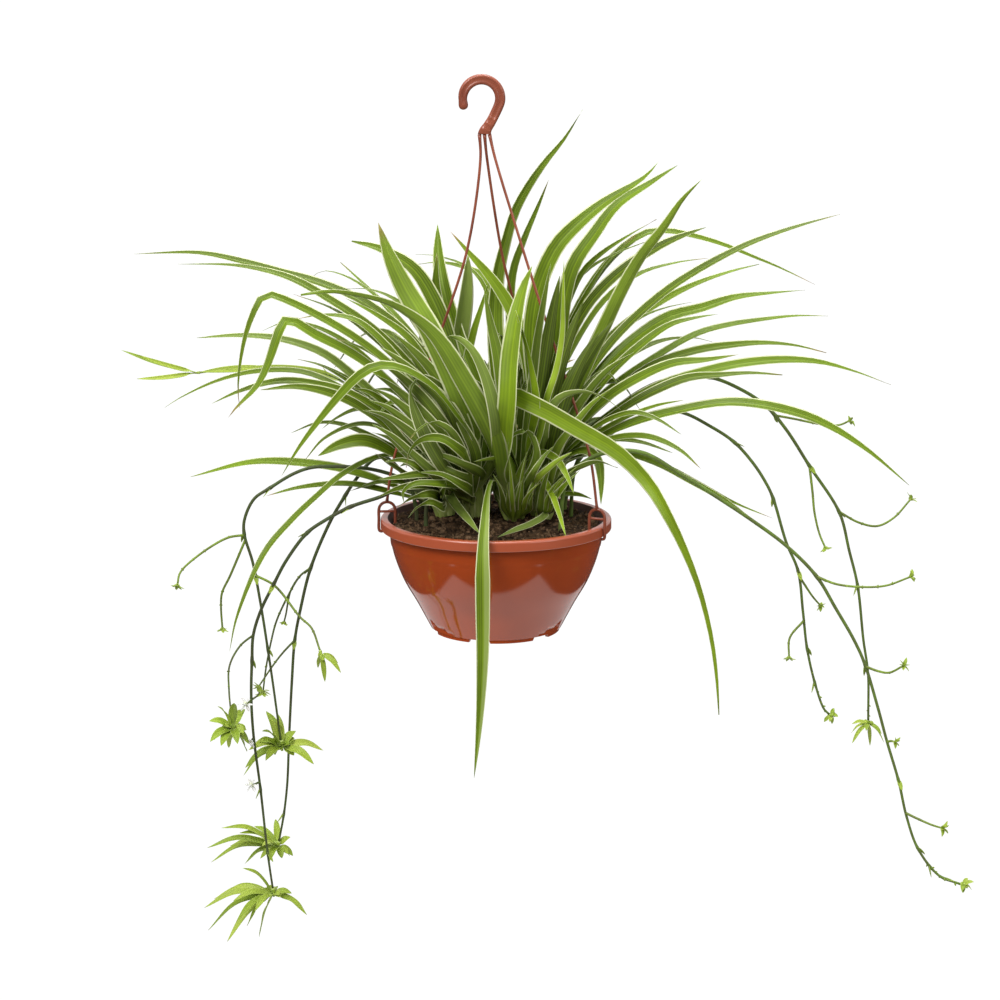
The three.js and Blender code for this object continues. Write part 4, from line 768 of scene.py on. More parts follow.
def shapeWidth(shape, share):  # as a share of the widest place
    rule = shapes[shape]
    if "arched" in rule:
        start, span = rule["arched"]
        return math.sin(math.pi * min(1, start + span * share)) ** rule["blunt"]
    widest = rule["widest"]
    if share < widest:
        swell = rule.get("swell")
        rise = (share / widest) ** swell if swell else eased(share, 0, rule.get("grown", widest))
        return mixed(rule["foot"], 1, rise)
    return (1 - ((share - widest) / (1 - widest)) ** rule["taper"]) ** rule.get("blunt", 1)


def facing(course, share, heading):  # its way ahead, across it and its upper face, before it turns
    frontwards = -1 if math.cos(heading) > 0 else 1
    aside = vec(-math.sin(heading), math.cos(heading), 0) * frontwards
    ahead = course.ahead(share)
    front = unit(aside - ahead * aside.dot(ahead))
    return frontwards, ahead, front, np.cross(ahead, front) * frontwards


def addBlade(skin, course, width, heading, roll=0.0, fold=55.0, light=0.5, dry=0.0, wave=0.0,
             stations=blade["stations"], thick=blade["thick"], shape="usual", rollBy=0.4, trim=1.0,
             halves=0.0, grey=0.0, alongTo=1.0):
    half = blade["across"]
    bend, sink = blade["hollow"]
    offsets = [k / half for k in range(-half, half + 1)]
    rings, places, tints = [], [], []
    for i in range(stations + 1):
        share = min(i / stations, blade["end"])
        middle = course.at(share)
        frontwards, _, front, face = facing(course, share, heading)
        turn = -math.radians(roll) * eased(share, 0.2 * rollBy, rollBy)
        turn += blade["sway"] * wave * math.sin(9 * share + 5 * wave)
        cos, sin = math.cos(turn), math.sin(turn)
        front, face = front * cos + face * sin, face * cos - front * sin
        opening = math.radians(fold - (fold - blade["openFold"]) * eased(share, 0, 0.5))
        reach = width / 2 * shapeWidth(shape, share) * math.cos(opening)
        lift = width / 2 * shapeWidth(shape, share) * math.sin(opening)
        ripple = wave * blade["ripple"] * width * math.sin(14 * share + 3 * wave)
        t = thick * (1 - blade["tipThin"] * share)
        upper, lower = [], []
        for q in offsets:
            height = lift * (abs(q) ** bend - sink) + ripple * q
            halfThick = t / 2 * (1 - blade["edgeThin"] * abs(q))
            upper.append(middle + front * reach * q + face * (height + halfThick))
            lower.append(middle + front * reach * q + face * (height - halfThick))
        over = [((q * trim + 1) / 2, share * alongTo) for q in offsets]
        # one half of a folded blade is painted paler and the other darker, as light falls across the fold:
        # painted light and shade
        oneHalf, otherHalf = (light, dry, max(grey, halves), 1), (light - halves / 3, dry, grey, 1)
        shade = [oneHalf if q * frontwards > 0 else otherHalf for q in offsets]
        shade += [(light, dry, max(grey, 0.3), 1)] * len(offsets)
        rings.append((upper + lower[::-1])[::frontwards])
        places += (over + over[::-1])[::frontwards]
        tints += shade[::frontwards]
    skin.tube(rings, places, tints)


def leaf(depth, width, roll, *route, **more):  # tip first. depth is the tip's, or a list along the route
    return dict(more, depth=depth, width=width, roll=roll, route=list(route))


def stalks(marks, soilLine=509):  # narrow leaves at a crown's foot: tip across and down, foot across, width
    return [
        leaf([-58, -46, -30, -14], width, 15 + 9 * (i % 4), (tip, high),
             (mixed(tip, foot, 0.5), mixed(high, soilLine, 0.3)),
             (mixed(tip, foot, 0.85), mixed(high, soilLine, 0.65)),
             (foot, soilLine), rise=1.0, light=0.45 + 0.2 * (i % 3), trim=1.12, shape="early")
        for i, (tip, high, foot, width) in enumerate(marks)
    ]


# Crowns: rosettes that stand side by side in the soil. across and depth are from the pot's axis, and
# core is the radius of the bundle of sheaths. A leaf's route runs from its tip on the front view, the
# leaves of a cover lie in front, and fill and sheaths are spread by rule.
# A leaf's light is painted light and shade beside some real variety of tone: low for fill and cover leaves
# deep in the plant, as painted shade, high for lit leaves, as painted light.
frontFill = dict(apex=(0.7, 1.0), foot=(8, 34), fold=50, width=(10, 14), frontShort=0.7)
backFill = dict(headings=(0, 360), reach=(30, 110), lift=(70, 170), apex=(0.7, 1.0), foot=(8, 34),
    width=(10, 14), fold=50, frontShort=0.3, count=16)
frontSheaths = dict(headings=(20, 380), reach=(12, 30), lift=(40, 70), apex=(0.9, 1.2), foot=(0, 8),
    width=(12, 16), fold=62, frontShort=0.5, alongTo=0.2, trim=1.14)
backSheaths = dict(headings=(20, 380), reach=(12, 30), lift=(40, 70), apex=(0.9, 1.2), foot=(0, 8),
    width=(12, 16), fold=62, frontShort=0.3, count=8)
inFront = dict(forwardBy=0.45, trim=1.04, dry=0.0)
crowns = {}
crowns["left"] = dict(
    across=-52, depth=30, core=11, light=(0.1, 0.5),
    fill=dict(frontFill, count=15, headings=(95, 455), reach=(45, 120), lift=(40, 120), apex=(0.55, 0.9),
        foot=(8, 30), width=(9, 13), light=(0.0, 0.25)),
    sheaths=dict(frontSheaths, count=9, reach=(14, 34), lift=(34, 60), light=(0.4, 0.8)),
    cover=[
        leaf(-72, 11, 25, (376, 480), (398, 477), (420, 474), (440, 480), light=0.15),
        leaf(-78, 11, 25, (378, 497), (398, 488), (418, 485), (436, 490), light=0.2),
        leaf(-40, 12, 30, (362, 410), (384, 420), (404, 442), (420, 462), light=0.1),
        leaf(-50, 12, 30, (372, 432), (392, 440), (410, 458), (424, 474), light=0.15),
        leaf(-66, 11, 30, (384, 462), (402, 460), (420, 468), (434, 484), light=0.1),
        leaf(-80, 10, 50, (448, 472), (446, 484), (442, 496), light=0.2),
        leaf(-84, 12, 20, (398, 507), (411, 498), (427, 494), (440, 500), light=0.15),
        leaf(-88, 11, 20, (408, 518), (417, 507), (429, 502), (441, 507), light=0.2),
    ],
    leaves=[
        leaf(40, 12, 15, (190, 477), (254, 462), (311, 464), (350, 471), (400, 489), light=0.55),
        leaf(-5, 9, 12, (266, 496), (300, 487.5), (350, 484), (400, 495), light=0.4, dry=1.0),
        leaf(20, 13, 15, (196, 338), (240, 335.5), (280, 339), (320, 352), (348, 372), (405, 428),
             light=0.3, grey=0.5),
        leaf(75, 10, 8, (164, 408), (180, 398), (220, 380), (262, 371), (310, 374), (365, 405), (418, 455)),
        leaf(-20, 12, 18, (211, 404), (240, 391), (280, 381), (320, 385), (350, 394), (395, 422),
             (422, 452)),
        leaf(-55, 13, 20, (260, 390), (300, 387), (345, 399), (390, 430), (420, 462), light=0.2),
        leaf(-38, 16, 34, (318, 456), (340, 445), (365, 441), (400, 458), (425, 477), light=0.3,
             shape="full"),
        leaf(-60, 8, 30, (375, 453), (395, 467), (420, 484)),
        leaf(-75, 9, 22, (229.5, 652), (237, 617), (265, 552), (292, 520), (315, 498), (345, 473),
             (385, 456), (420, 465), light=0.4),
        leaf(60, 8, 12, (291, 433), (318, 423), (340, 424), (378, 440), (415, 462)),
        leaf(0, 8, 15, (322, 429), (335, 419), (360, 409), (390, 422), (420, 452)),
        leaf(5, 8, 20, (305, 460), (325, 438), (360, 424), (390, 432), (420, 460)),
        leaf(10, 8, 20, (350, 491), (380, 482), (405, 483), (425, 492)),
        leaf(66, 8, 12, (262, 331), (283, 323), (310, 325), (350, 345), (390, 383), (425, 432)),
        leaf(72, 8, 10, (297, 359), (320, 365), (350, 380), (390, 408), (425, 445)),
        leaf(45, 8, 15, (315, 362), (340, 376), (380, 404), (420, 445)),
        leaf(5, 14, 30, (352, 388), (370, 393), (400, 418), (430, 457), light=0.1),
    ],
)

crowns["mid_left"] = dict(
    across=-20, depth=20, core=12, light=(0.15, 0.6),
    fill=dict(frontFill, count=17, headings=(60, 420), reach=(30, 100), lift=(60, 150), light=(0.0, 0.3)),
    sheaths=dict(frontSheaths, count=10, light=(0.4, 0.9)),
    cover=[
        leaf(-70, 14, 30, (398, 338), (414, 358), (431, 383), (449, 412), light=0.1, trim=0.9),
        leaf(-70, 12, 30, (396, 378), (412, 394), (430, 416), (448, 442), light=0.1, trim=0.9),
        leaf(-60, 13, 45, (406, 314), (420, 332), (440, 360), (458, 390), (474, 425), light=0.5),
        leaf(-72, 15, 45, (390, 331), (408, 346), (428, 366), (448, 393), (466, 430), light=0.35),
        leaf(-74, 17, 45, (380, 347), (400, 361), (421, 380), (444, 402), (462, 436), light=0.25),
        leaf(-77, 15, 45, (374, 374), (392, 386), (413, 404), (434, 427), (453, 456), light=0.2),
        leaf(-79, 14, 45, (368, 400), (386, 407), (405, 421), (426, 441), (447, 466), light=0.25),
        leaf(-76, 15, 45, (376, 360), (396, 373), (417, 392), (438, 418), (456, 450), light=0.15),
        leaf(-78, 15, 45, (372, 388), (390, 397), (409, 412), (430, 434), (450, 462), light=0.3),
        leaf(-80, 14, 45, (364, 410), (384, 415), (403, 427), (424, 446), (444, 470), light=0.1),
        leaf(-76, 13, 40, (372, 424), (392, 436), (410, 452), (430, 470), (446, 484), light=0.2),
        leaf(-92, 15, 62, (409, 385), (413, 405), (424, 432), (438, 458), light=0.05, grey=0.5, trim=1.0,
             shape="full"),
        leaf(-62, 13, 40, (436, 399), (451, 408), (465, 430), (476, 455), light=0.15),
        leaf(-80, 12, 30, (421, 453), (440, 455), (460, 463), (482, 483), light=0.2, trim=1.0),
        leaf(-86, 11, 30, (404, 503), (403, 492), (413, 484), (440, 484), (466, 492), light=0.3, trim=1.0),
        leaf(-70, 12, 25, (415, 462), (433, 464), (455, 474), (474, 490), light=0.15),
        leaf(-90, 11, 25, (418, 472), (440, 474), (460, 484), (472, 496), light=0.15, trim=1.0),
        leaf(-84, 15, 45, (437, 341), (445, 337), (458, 338), (471, 348), (484, 372), (494, 405),
             (498, 436), (494, 460), light=0.4, grey=0.8, trim=1.0),
    ],
    leaves=[
        leaf(-25, 12, 28, (240, 409), (238.5, 398), (239, 375), (246, 335), (257, 306), (263, 297),
             (270, 295), (285, 300), (320, 317), (355, 338), (390, 365), (425, 402), (455, 440),
             light=0.35),
        leaf(-38, 13, 30, (228, 418), (236, 408), (258, 385), (268, 365), (279, 333), (284, 322),
             (291, 321), (315, 335), (345, 350), (372, 368), (405, 398), (445, 440), light=0.5,
             shape="full"),
        leaf(15, 12, 20, (345, 298), (375, 314), (408, 338), (430, 370), (455, 415), (465, 440)),
        leaf(60, 12, 18, (296, 319), (325, 315), (355, 320), (385, 345), (420, 390), (455, 440)),
        leaf(95, 8, 20, (342, 289), (370, 289.5), (400, 303), (428, 338), (455, 400)),
        leaf(130, 7, 10, (293, 294), (335, 310), (372, 337), (415, 380), (450, 430)),
        leaf(10, 8, 20, (335, 339), (350, 343), (388, 364), (425, 405), (458, 447)),
        leaf(12, 13, 25, (371, 389), (392, 391), (412, 408), (440, 445), light=0.15),
        leaf(35, 18, 40, (351, 241), (380, 249), (412, 268), (433, 300), (450, 345), (465, 405), light=0.3,
             shape="full"),
        leaf([-62, -64, -68, -80, -80, -40], 23, 62, (378, 222), (388, 252), (405, 288), (430, 330),
             (455, 385), (470, 432), light=0.55, shape="full"),
        leaf([-85, -85, -90, -94, -96, -96, -94, -84, -50], 12, 28, (281, 477), (300, 446), (340, 395),
             (360, 375), (378, 366), (400, 368), (432, 386), (452, 410), (470, 440), light=0.5),
        leaf([-86, -86, -86, -84, -74, -30], 12, 40, (417, 437), (413, 410), (411, 390), (420, 378),
             (440, 388), (462, 430), light=0.1),
        leaf(-104, 12, 35, (406, 468), (410, 450), (422, 439), (440, 438), (458, 449), (470, 470), dry=1.0,
             forwardBy=0.45),
        leaf(-100, 11, 30, (408, 442), (417, 431), (432, 422.5), (447, 428), (464, 458), forwardBy=0.45),
        leaf(-75, 9, 30, (398, 452), (427, 452), (450, 458), (468, 475)),
        leaf(-78, 10, 30, (480, 534), (468, 519), (457, 506), (450, 494), light=0.6, grey=0.9),
    ],
)

crowns["centre"] = dict(
    across=18, depth=12, core=13, light=(0.45, 0.9),
    fill=dict(frontFill, count=17, headings=(30, 390), reach=(20, 90), lift=(70, 170), apex=(0.8, 1.1),
        width=(10, 15), light=(0.0, 0.4)),
    sheaths=dict(frontSheaths, count=12, lift=(40, 76), light=(0.7, 1.0), alongTo=0.16),
    cover=[
        leaf(-74, 7, 45, (564, 258), (563, 300), (562, 335), (556, 370), (547, 398), (538, 440), light=1.0,
             trim=1.0),
        leaf(-30, 16, 40, (560, 275), (553, 310), (547, 345), (541, 385), (534, 425), light=0.05,
             trim=0.84),
        leaf(-44, 10, 40, (551, 262), (544, 300), (538, 335), (533, 375), (528, 420), light=0.3, grey=0.4),
        leaf(-80, 14, 55, (515, 310), (526, 342), (533, 372), (537, 402), (530, 440), light=0.9, trim=1.0,
             shape="full"),
        leaf(-42, 15, 45, (484, 290), (491, 325), (498, 355), (504, 395), (510, 430), light=0.5, trim=1.0),
        leaf(-62, 10, 30, (508, 446), (514, 434), (528, 432), (536, 448), (534, 466), light=0.4),
        leaf(-60, 10, 35, (572, 452), (556, 462), (542, 474), (530, 486), light=0.9),
        leaf(-66, 9, 35, (554, 446), (545, 455), (535, 470), (528, 484), light=0.3),
        *stalks([(493, 474, 504, 8), (507, 484, 508, 7), (509, 458, 512, 8), (524, 476, 516, 6),
                 (527, 452, 520, 9), (541, 482, 523, 7), (548, 462, 527, 8), (534, 492, 530, 6)]),
    ],
    leaves=[
        leaf([-95, -95, -95, -95, -94, -88, -60], 25, 50, (300, 295), (330, 291.5), (360, 295.5),
             (395, 306), (432, 333), (463, 380), (492, 435), light=0.52, shape="tapered"),
        leaf(25, 16, 55, (450, 231), (468, 252), (489, 276), (508, 304), (521, 335), (530, 375), (528, 430),
             light=0.65),
        leaf([-60, -64, -74, -86, -94, -60], 24, 65, (532.6, 265), (524, 287), (517, 315), (511, 357),
             (508.5, 400), (506, 440), light=0.64, shape="full"),
        leaf(112, 20, 60, (583, 109), (564, 139), (545, 162), (527, 188), (514, 213), (506, 240),
             (498, 274), (495, 330), (503, 400), light=0.4, shape="tapered"),
        leaf(0, 20, 60, (659, 161), (646, 176), (604, 203), (577, 225), (557, 247), (540, 285), (532, 330),
             (534, 385), (527, 435), light=0.48),
        leaf([-140, -140, -139, -138, -134, -126, -106, -66, -38], 15, 0, (474, 779), (478, 740),
             (481, 700), (483, 650), (483, 600), (483, 555), (485, 520), (488, 492), (493, 480), light=0.95,
             halves=1.6, shape="late"),
        leaf([-176, -174, -170, -162, -152, -138, -118, -104, -92, -86, -82, -72, -50, -30], 20, 80,
             (719, 716), (717, 680), (712, 640), (700, 590), (685, 550), (668, 515), (650, 485), (620, 454),
             (575, 427), (545, 410), (524, 400), (509, 394), (504, 412), (508, 440), rollBy=0.08,
             shape="early", light=0.7),
        leaf(-60, 8, 30, (473, 462), (490, 459), (505, 459), (512, 470)),
        leaf(-75, 9, 40, (574, 494), (566, 474), (555, 458), (540, 453), (525, 463), light=0.85),
        leaf(-82, 7, 35, (566, 537), (558, 510), (550, 490), (540, 477), (528, 478), light=0.95),
        leaf(130, 18, 45, (437.5, 224), (439, 262), (446, 300), (462, 350), (485, 410), light=0.5,
             shape="full"),
        leaf(165, 9, 20, (404, 268), (420, 264), (440, 262.5), (462, 266.5), (480, 274), (492, 295),
             (502, 350), (510, 410)),
        leaf(150, 6, 20, (415, 254.5), (430, 255), (445, 258), (460, 263), (474, 272), (486, 290),
             (497, 340), light=0.3),
    ],
)

crowns["right"] = dict(
    across=46, depth=24, core=12, light=(0.15, 0.55),
    fill=dict(frontFill, count=17, headings=(-60, 300), reach=(30, 110), lift=(50, 150), apex=(0.65, 1.0),
        width=(9, 14), light=(0.0, 0.3), frontShort=0.8),
    sheaths=dict(frontSheaths, count=10, light=(0.5, 1.0)),
    cover=[
        leaf(-44, 16, 45, (600, 330), (584, 356), (568, 390), (554, 436), light=0.0, trim=0.84),
        leaf(-20, 18, 40, (614, 320), (593, 350), (574, 384), (560, 430), light=0.0, trim=0.84),
        leaf(-36, 15, 40, (584, 300), (569, 338), (558, 375), (548, 415), (544, 440), light=0.0, trim=0.84),
        leaf(-30, 12, 40, (634, 352), (608, 370), (584, 398), (562, 436), light=0.4),
        leaf(-46, 10, 35, (612, 388), (592, 404), (572, 428), (556, 452), light=0.7),
        leaf(-50, 10, 30, (618, 468), (598, 462), (578, 468), (560, 482), light=0.2),
        leaf(-58, 10, 30, (580, 470), (568, 482), (556, 496), light=0.4),
        *stalks([(556, 456, 540, 9), (566, 474, 545, 7), (578, 466, 549, 8), (560, 486, 553, 6)]),
    ],
    leaves=[
        leaf(-20, 15, 22, (910, 486), (867, 450), (829, 426), (795, 412.5), (733, 402.5), (670, 412.5),
             (639, 421), (604, 436), (568, 460), light=0.4),
        leaf(55, 14, 20, (891.5, 385), (856, 372), (818, 362), (782, 360), (746, 363), (711, 370),
             (660, 386), (615, 412), (572, 447)),
        leaf(20, 12, 16, (783, 375), (751, 373), (720, 375), (688, 378), (657, 390), (625, 408),
             (575, 447)),
        leaf(110, 12, 12, (829, 316), (795, 316), (760, 320), (729, 325), (697, 334), (650, 361),
             (610, 390), (570, 432)),
        leaf(80, 13, 18, (827, 353), (795, 345.5), (762, 343), (729, 345.5), (695, 351), (650, 367),
             (610, 398), (570, 440)),
        leaf(65, 15, 24, (806, 290), (773, 293), (735, 297.5), (702, 308), (670, 316.5), (644, 332),
             (610, 362), (580, 402), (560, 440), light=0.45),
        leaf(35, 14, 22, (718.5, 314), (695, 318), (670, 325), (640, 346), (605, 380), (568, 432)),
        leaf(90, 13, 16, (841, 214), (795.5, 227), (751, 243), (711, 263), (675, 285), (646, 308),
             (612, 342), (580, 388), (558, 432)),
        leaf(-40, 16, 30, (739, 354.5), (706, 360), (675, 363), (645, 375), (605, 400), (570, 438),
             light=0.4),
        leaf(-50, 8, 15, (684, 400), (655, 406), (625, 418), (590, 438), (565, 458)),
        leaf(-66, 8, 15, (682, 435), (657, 419), (635, 412.5), (608, 420), (580, 440), (560, 462)),
        leaf(145, 10.5, 18, (713, 342), (695, 338), (670, 339), (645, 347), (610, 370), (575, 418)),
        leaf([-70, -72, -74, -72, -62, -20], 11, 34, (621, 410), (606, 399), (586, 392), (563, 396),
             (549, 412), (543, 445), light=0.6, grey=1.0),
        leaf(-15, 10, 18, (788, 546), (755, 523), (720, 498), (690, 481), (655, 463), (620, 453),
             (585, 455), (560, 468)),
        leaf(15, 6.5, 15, (773, 518.5), (735, 503), (700, 484), (665, 466), (628, 455), (590, 455),
             (562, 466)),
        leaf(-78, 9, 20, (701, 469), (680, 450), (650, 437), (620, 437), (590, 447), (562, 464)),
        leaf(-30, 8, 15, (673, 453), (640, 442), (610, 440), (580, 450), (560, 464)),
        leaf(-25, 16, 52, (702, 179), (682, 200), (664, 227), (641.5, 256), (621, 292), (604, 328),
             (588, 362), (570, 405), (556, 442), light=0.65),
        leaf(-60, 12, 30, (601, 505), (601, 478), (598, 461), (588, 451), (570, 455), (556, 468),
             light=0.3),
        leaf(20, 8, 20, (592, 499), (577, 494.5), (562, 495), (552, 502)),
        leaf(-88, 7.5, 30, (497, 537.5), (515, 530), (531, 524), (545, 515), light=0.35, grey=1.0),
        leaf(85, 7, 15, (692, 302), (665, 308), (640, 318), (610, 341), (575, 390), (556, 430)),
    ],
)

crowns["back_left"] = dict(
    across=-32, depth=64, core=12, light=(0.1, 0.5),
    fill=dict(backFill, light=(0.0, 0.2)),
    sheaths=dict(backSheaths, light=(0.2, 0.6)),
    leaves=[
        leaf(80, 10, 50, (489, 282), (481, 308), (473, 334), (467, 365), (474, 425), light=0.6),
        leaf(150, 13, 10, (133, 254), (200, 253), (240, 261), (280, 272), (320, 283), (370, 306),
             (420, 350), (450, 405)),
        leaf(120, 12, 10, (177, 264), (240, 266), (290, 278), (330, 300), (375, 331), (420, 378),
             (452, 425)),
        leaf(200, 10, 10, (340, 262), (352, 273), (375, 295), (410, 335), (445, 390)),
        leaf(175, 8, 10, (311, 278), (322, 271), (345, 276), (376, 296), (415, 338), (448, 395)),
        leaf(85, 17, 50, (437, 252), (436, 285), (441, 320), (449, 365), (456, 410), light=0.3),
        leaf(90, 21, 45, (468, 254), (467, 278), (465, 301), (460, 336), (456, 380), light=0.9, grey=1.4,
             shape="full"),
    ],
    spread=dict(seed=12, count=5, headings=(92, 150), reach=(130, 210), lift=(110, 180)),
)

crowns["back_right"] = dict(
    across=26, depth=62, core=12, light=(0.2, 0.6),
    fill=dict(backFill, light=(0.0, 0.25)),
    sheaths=dict(backSheaths, light=(0.2, 0.7)),
    cover=[
        leaf(60, 17, 0, (486, 395), (491, 440), (495, 478), (498, 502), light=0.1, forwardBy=1,
             shape="full"),
        leaf(40, 15, 45, (707, 227), (690, 233), (668, 242), (648, 253), (628, 266), (608, 283), (590, 303),
             (572, 335), (558, 385), light=0.1, forwardBy=1, shape="full"),
    ],
    leaves=[
        leaf(60, 20, 50, (678, 165), (650, 183), (617, 205), (595, 234), (575, 264), (565, 300), (560, 350),
             (548, 405), (538, 435), light=0.5),
        leaf(76, 9, 20, (657, 219), (628, 236), (601, 254), (583, 272), (568, 305), (552, 355), (540, 405)),
        leaf(88, 9, 20, (637, 234), (612, 256), (590, 288), (570, 328), (548, 385)),
        leaf(110, 11, 22, (816, 285), (778, 267), (751, 256), (724, 245), (693, 236), (666, 231),
             (646, 233), (615, 255), (585, 295), (560, 350), (543, 405)),
        leaf(112, 12, 12, (760, 264), (729, 272), (693, 285), (662, 301), (625, 325), (590, 360),
             (555, 415)),
        leaf(124, 10, 12, (708.5, 258), (675, 263), (639, 274), (605, 300), (575, 345), (548, 405)),
        leaf(80, 8, 20, (645, 242), (615, 254), (590, 268), (572, 287), (558, 330), (545, 380)),
        leaf(105, 10, 45, (549, 179), (538, 206), (524, 239), (513, 271), (510, 320), (516, 380)),
    ],
    spread=dict(seed=29, count=4, headings=(76, 112), reach=(130, 210), lift=(110, 180)),
)


def bundleNeck(crown):
    x, y = pot["axis"] + crown["across"], crown["depth"]
    return vec(x, y, soilTop(x, y) + blade["bundle"])


def drawnCourse(one, crown):  # a leaf's route in space, from its crown to its tip
    places = one["route"][::-1]
    tipDepth, reach = one["depth"], one.get("forwardBy", 1)
    depths = tipDepth[::-1] if isinstance(tipDepth, list) else None
    walked, last, total = [], onSheet(bundleNeck(crown)), 0.0
    for p in places:
        total += math.dist(p, last)
        walked.append(total)
        last = p
    outer = []
    for i, p in enumerate(places):
        share = walked[i] / total
        share = share if reach == 1 else eased(share, 0, reach)
        outer.append(seen(p, depths[i] if depths else mixed(crown["depth"], tipDepth, share)))
    return dict(one, outer=outer)


def seededDraws(seed):  # the same stream of numbers as in the part's own source
    state = seed
    while True:
        state = state * 16807 % 2147483647
        yield state / 2147483647


def spreadCourses(crown):  # leaves that the others hide from the front
    if "spread" not in crown:
        return []
    spread = crown["spread"]
    draws = seededDraws(spread["seed"])
    neck = bundleNeck(crown)
    courses = []
    for i in range(spread["count"]):
        out = toward(math.radians(mixed(*spread["headings"], (i + 0.5) / spread["count"])))
        far = mixed(*spread["reach"], next(draws))
        high = mixed(*spread["lift"], next(draws))
        apex = mixed(0.5, 0.7, next(draws))
        outer = [neck + out * far * t + vec(0, 0, high * (1 - (1 - t / apex) ** 2))
                 for t in (0.2, 0.4, 0.6, 0.8, 1)]
        courses.append(dict(outer=outer, width=mixed(11, 15, next(draws)), roll=0))
    return courses


bundle = dict(steps=12, sides=60, wraps=5, overlap=0.16, sunk=10, rounding=0.8,
              along=(0.09, 0.19), tint=(0.1, 0.9))


def addBundle(skin, crown, draw):  # the firm core that the sheaths wrap
    neck = bundleNeck(crown)
    soilZ = neck[2] - blade["bundle"]
    rings, places, tints = [], [], []
    start = draw.uniform(0, 6)
    for i in range(bundle["steps"] + 1):
        share = i / bundle["steps"]
        taper = mixed(0.9, blade["bundleTaper"], share) * (1 - share ** 6 * bundle["rounding"])
        z = soilZ - bundle["sunk"] + (blade["bundle"] + bundle["sunk"]) * share
        ring = []
        for k in range(bundle["sides"]):
            turn = 2 * math.pi * k / bundle["sides"]
            overlap = (turn * bundle["wraps"] / (2 * math.pi) + start) % 1.0
            wide = crown["core"] * taper * (0.9 + bundle["overlap"] * overlap ** 2)
            ring.append(vec(neck[0], neck[1], z) + toward(turn) * wide)
            places.append((overlap, mixed(*bundle["along"], share)))
            # each wrap is painted darker where it starts under the edge of the one before: painted shade
            tints.append((mixed(*bundle["tint"], overlap), 0, 0, 1))
        rings.append(ring)
    skin.tube(rings, places, tints)


def addYoungLeaves(skin, crown, rule, draw):  # leaves all round a crown, shorter and steeper at its front
    neck = bundleNeck(crown)
    x, y, soilZ = neck[0], neck[1], neck[2] - blade["bundle"]
    for i in range(rule["count"]):
        heading = math.radians(mixed(*rule["headings"], (i + draw.uniform(0.15, 0.85)) / rule["count"]))
        out = toward(heading)
        frontness = max(0.0, -math.sin(heading)) * rule["frontShort"]
        far = draw.uniform(*rule["reach"]) * (1 - frontness)
        high = draw.uniform(*rule["lift"]) * (1 - 0.35 * frontness)
        apex = draw.uniform(*rule["apex"])
        foot = draw.uniform(*rule["foot"])
        line = [vec(x, y, soilZ + foot - bundle["sunk"]) + out * crown["core"] * 0.55,
                vec(x, y, soilZ + foot) + out * crown["core"] * draw.uniform(0.75, 0.95)]
        swerve = vec(-out[1], out[0], 0) * draw.uniform(-0.25, 0.25)
        for t in (0.25, 0.5, 0.75, 1.0):
            rise = high * (1 - (1 - t / apex) ** 2)
            line.append(line[1] + (out + swerve * t) * far * t + vec(0, 0, rise))
        addBlade(skin, Course(line, perSpan=12), draw.uniform(*rule["width"]), heading,
                 draw.uniform(10, 55) * abs(math.cos(heading)), fold=rule["fold"],
                 light=draw.uniform(*rule["light"]), dry=max(0.0, draw.uniform(-1.5, 0.9)),
                 wave=draw.uniform(-1, 1), stations=26, trim=rule.get("trim", 0.95),
                 alongTo=rule.get("alongTo", 1.0))


def shownShare(course, heading, roll):  # how much of a blade's width shows from the front, on average
    sight = unit(vec(0, math.cos(view["tilt"]), -math.sin(view["tilt"])))
    shown = 0
    for share in (0.35, 0.5, 0.65, 0.8):
        _, ahead, front, face = facing(course, share, heading)
        turned = face * math.cos(roll) + front * math.sin(roll)
        shown += abs(turned.dot(sight)) / max(math.sqrt(1 - ahead.dot(sight) ** 2), 0.3) / 4
    return shown


def turnToShow(line, heading, roll):  # upper face to the front if that serves, and no more than is needed
    for extra in range(0, 70, 10):
        turn = math.radians(roll + extra)
        up, down = shownShare(line, heading, turn) * blade["upFirst"], shownShare(line, heading, -turn)
        if max(up, down) > blade["shown"]:
            break
    return roll + extra if up > down else -roll - extra


def makeCrown(name, crown, number):
    neck = bundleNeck(crown)
    x, y, soilZ = neck[0], neck[1], neck[2] - blade["bundle"]
    courses = [drawnCourse(one, crown) for one in crown["leaves"]] + spreadCourses(crown)
    courses += [drawnCourse(dict(inFront, **one), crown) for one in crown.get("cover", [])]

    def steepness(course):
        near = course["outer"][0] - neck
        return math.atan2(near[2], math.hypot(near[0], near[1]))

    courses.sort(key=steepness)
    draw = random.Random(10 + number)
    skin = Skin()
    addBundle(skin, crown, draw)
    for i, course in enumerate(courses):
        aim = course["outer"][0 if "rise" in course else -1]
        heading = math.atan2(aim[1] - y, aim[0] - x)
        out = toward(heading) * crown["core"]
        rise = course.get("rise", mixed(blade["foot"], blade["bundle"] + 8, i / (len(courses) - 1)))
        root = vec(x, y, soilZ + rise - blade["rootDeep"]) + out * blade["rootOut"]
        collar = vec(x, y, soilZ + rise) + out * blade["collarOut"]
        line = Course([root, collar, *course["outer"]])
        light = course.get("light", draw.uniform(*crown["light"]))
        dry = course.get("dry", max(0.0, draw.uniform(-0.8, 0.9)))
        roll = turnToShow(line, heading, course.get("roll", 0))
        fold = blade["broadFold"] if course["width"] >= blade["broadFrom"] else blade["narrowFold"]
        given = {key: course[key] for key in ("shape", "rollBy", "trim", "halves", "grey") if key in course}
        addBlade(skin, line, course["width"] * blade["wider"], heading, roll, fold, light, dry,
                 draw.uniform(-1, 1), **given)
    for kind in ("fill", "sheaths"):
        addYoungLeaves(skin, crown, crown[kind], draw)
    return place(skin.build(titled("crown", name), finishes["leaf"]), "leaf_green", "crown_" + name)


for number, (name, crown) in enumerate(crowns.items()):
    makeCrown(name, crown, number)
print("crowns made")


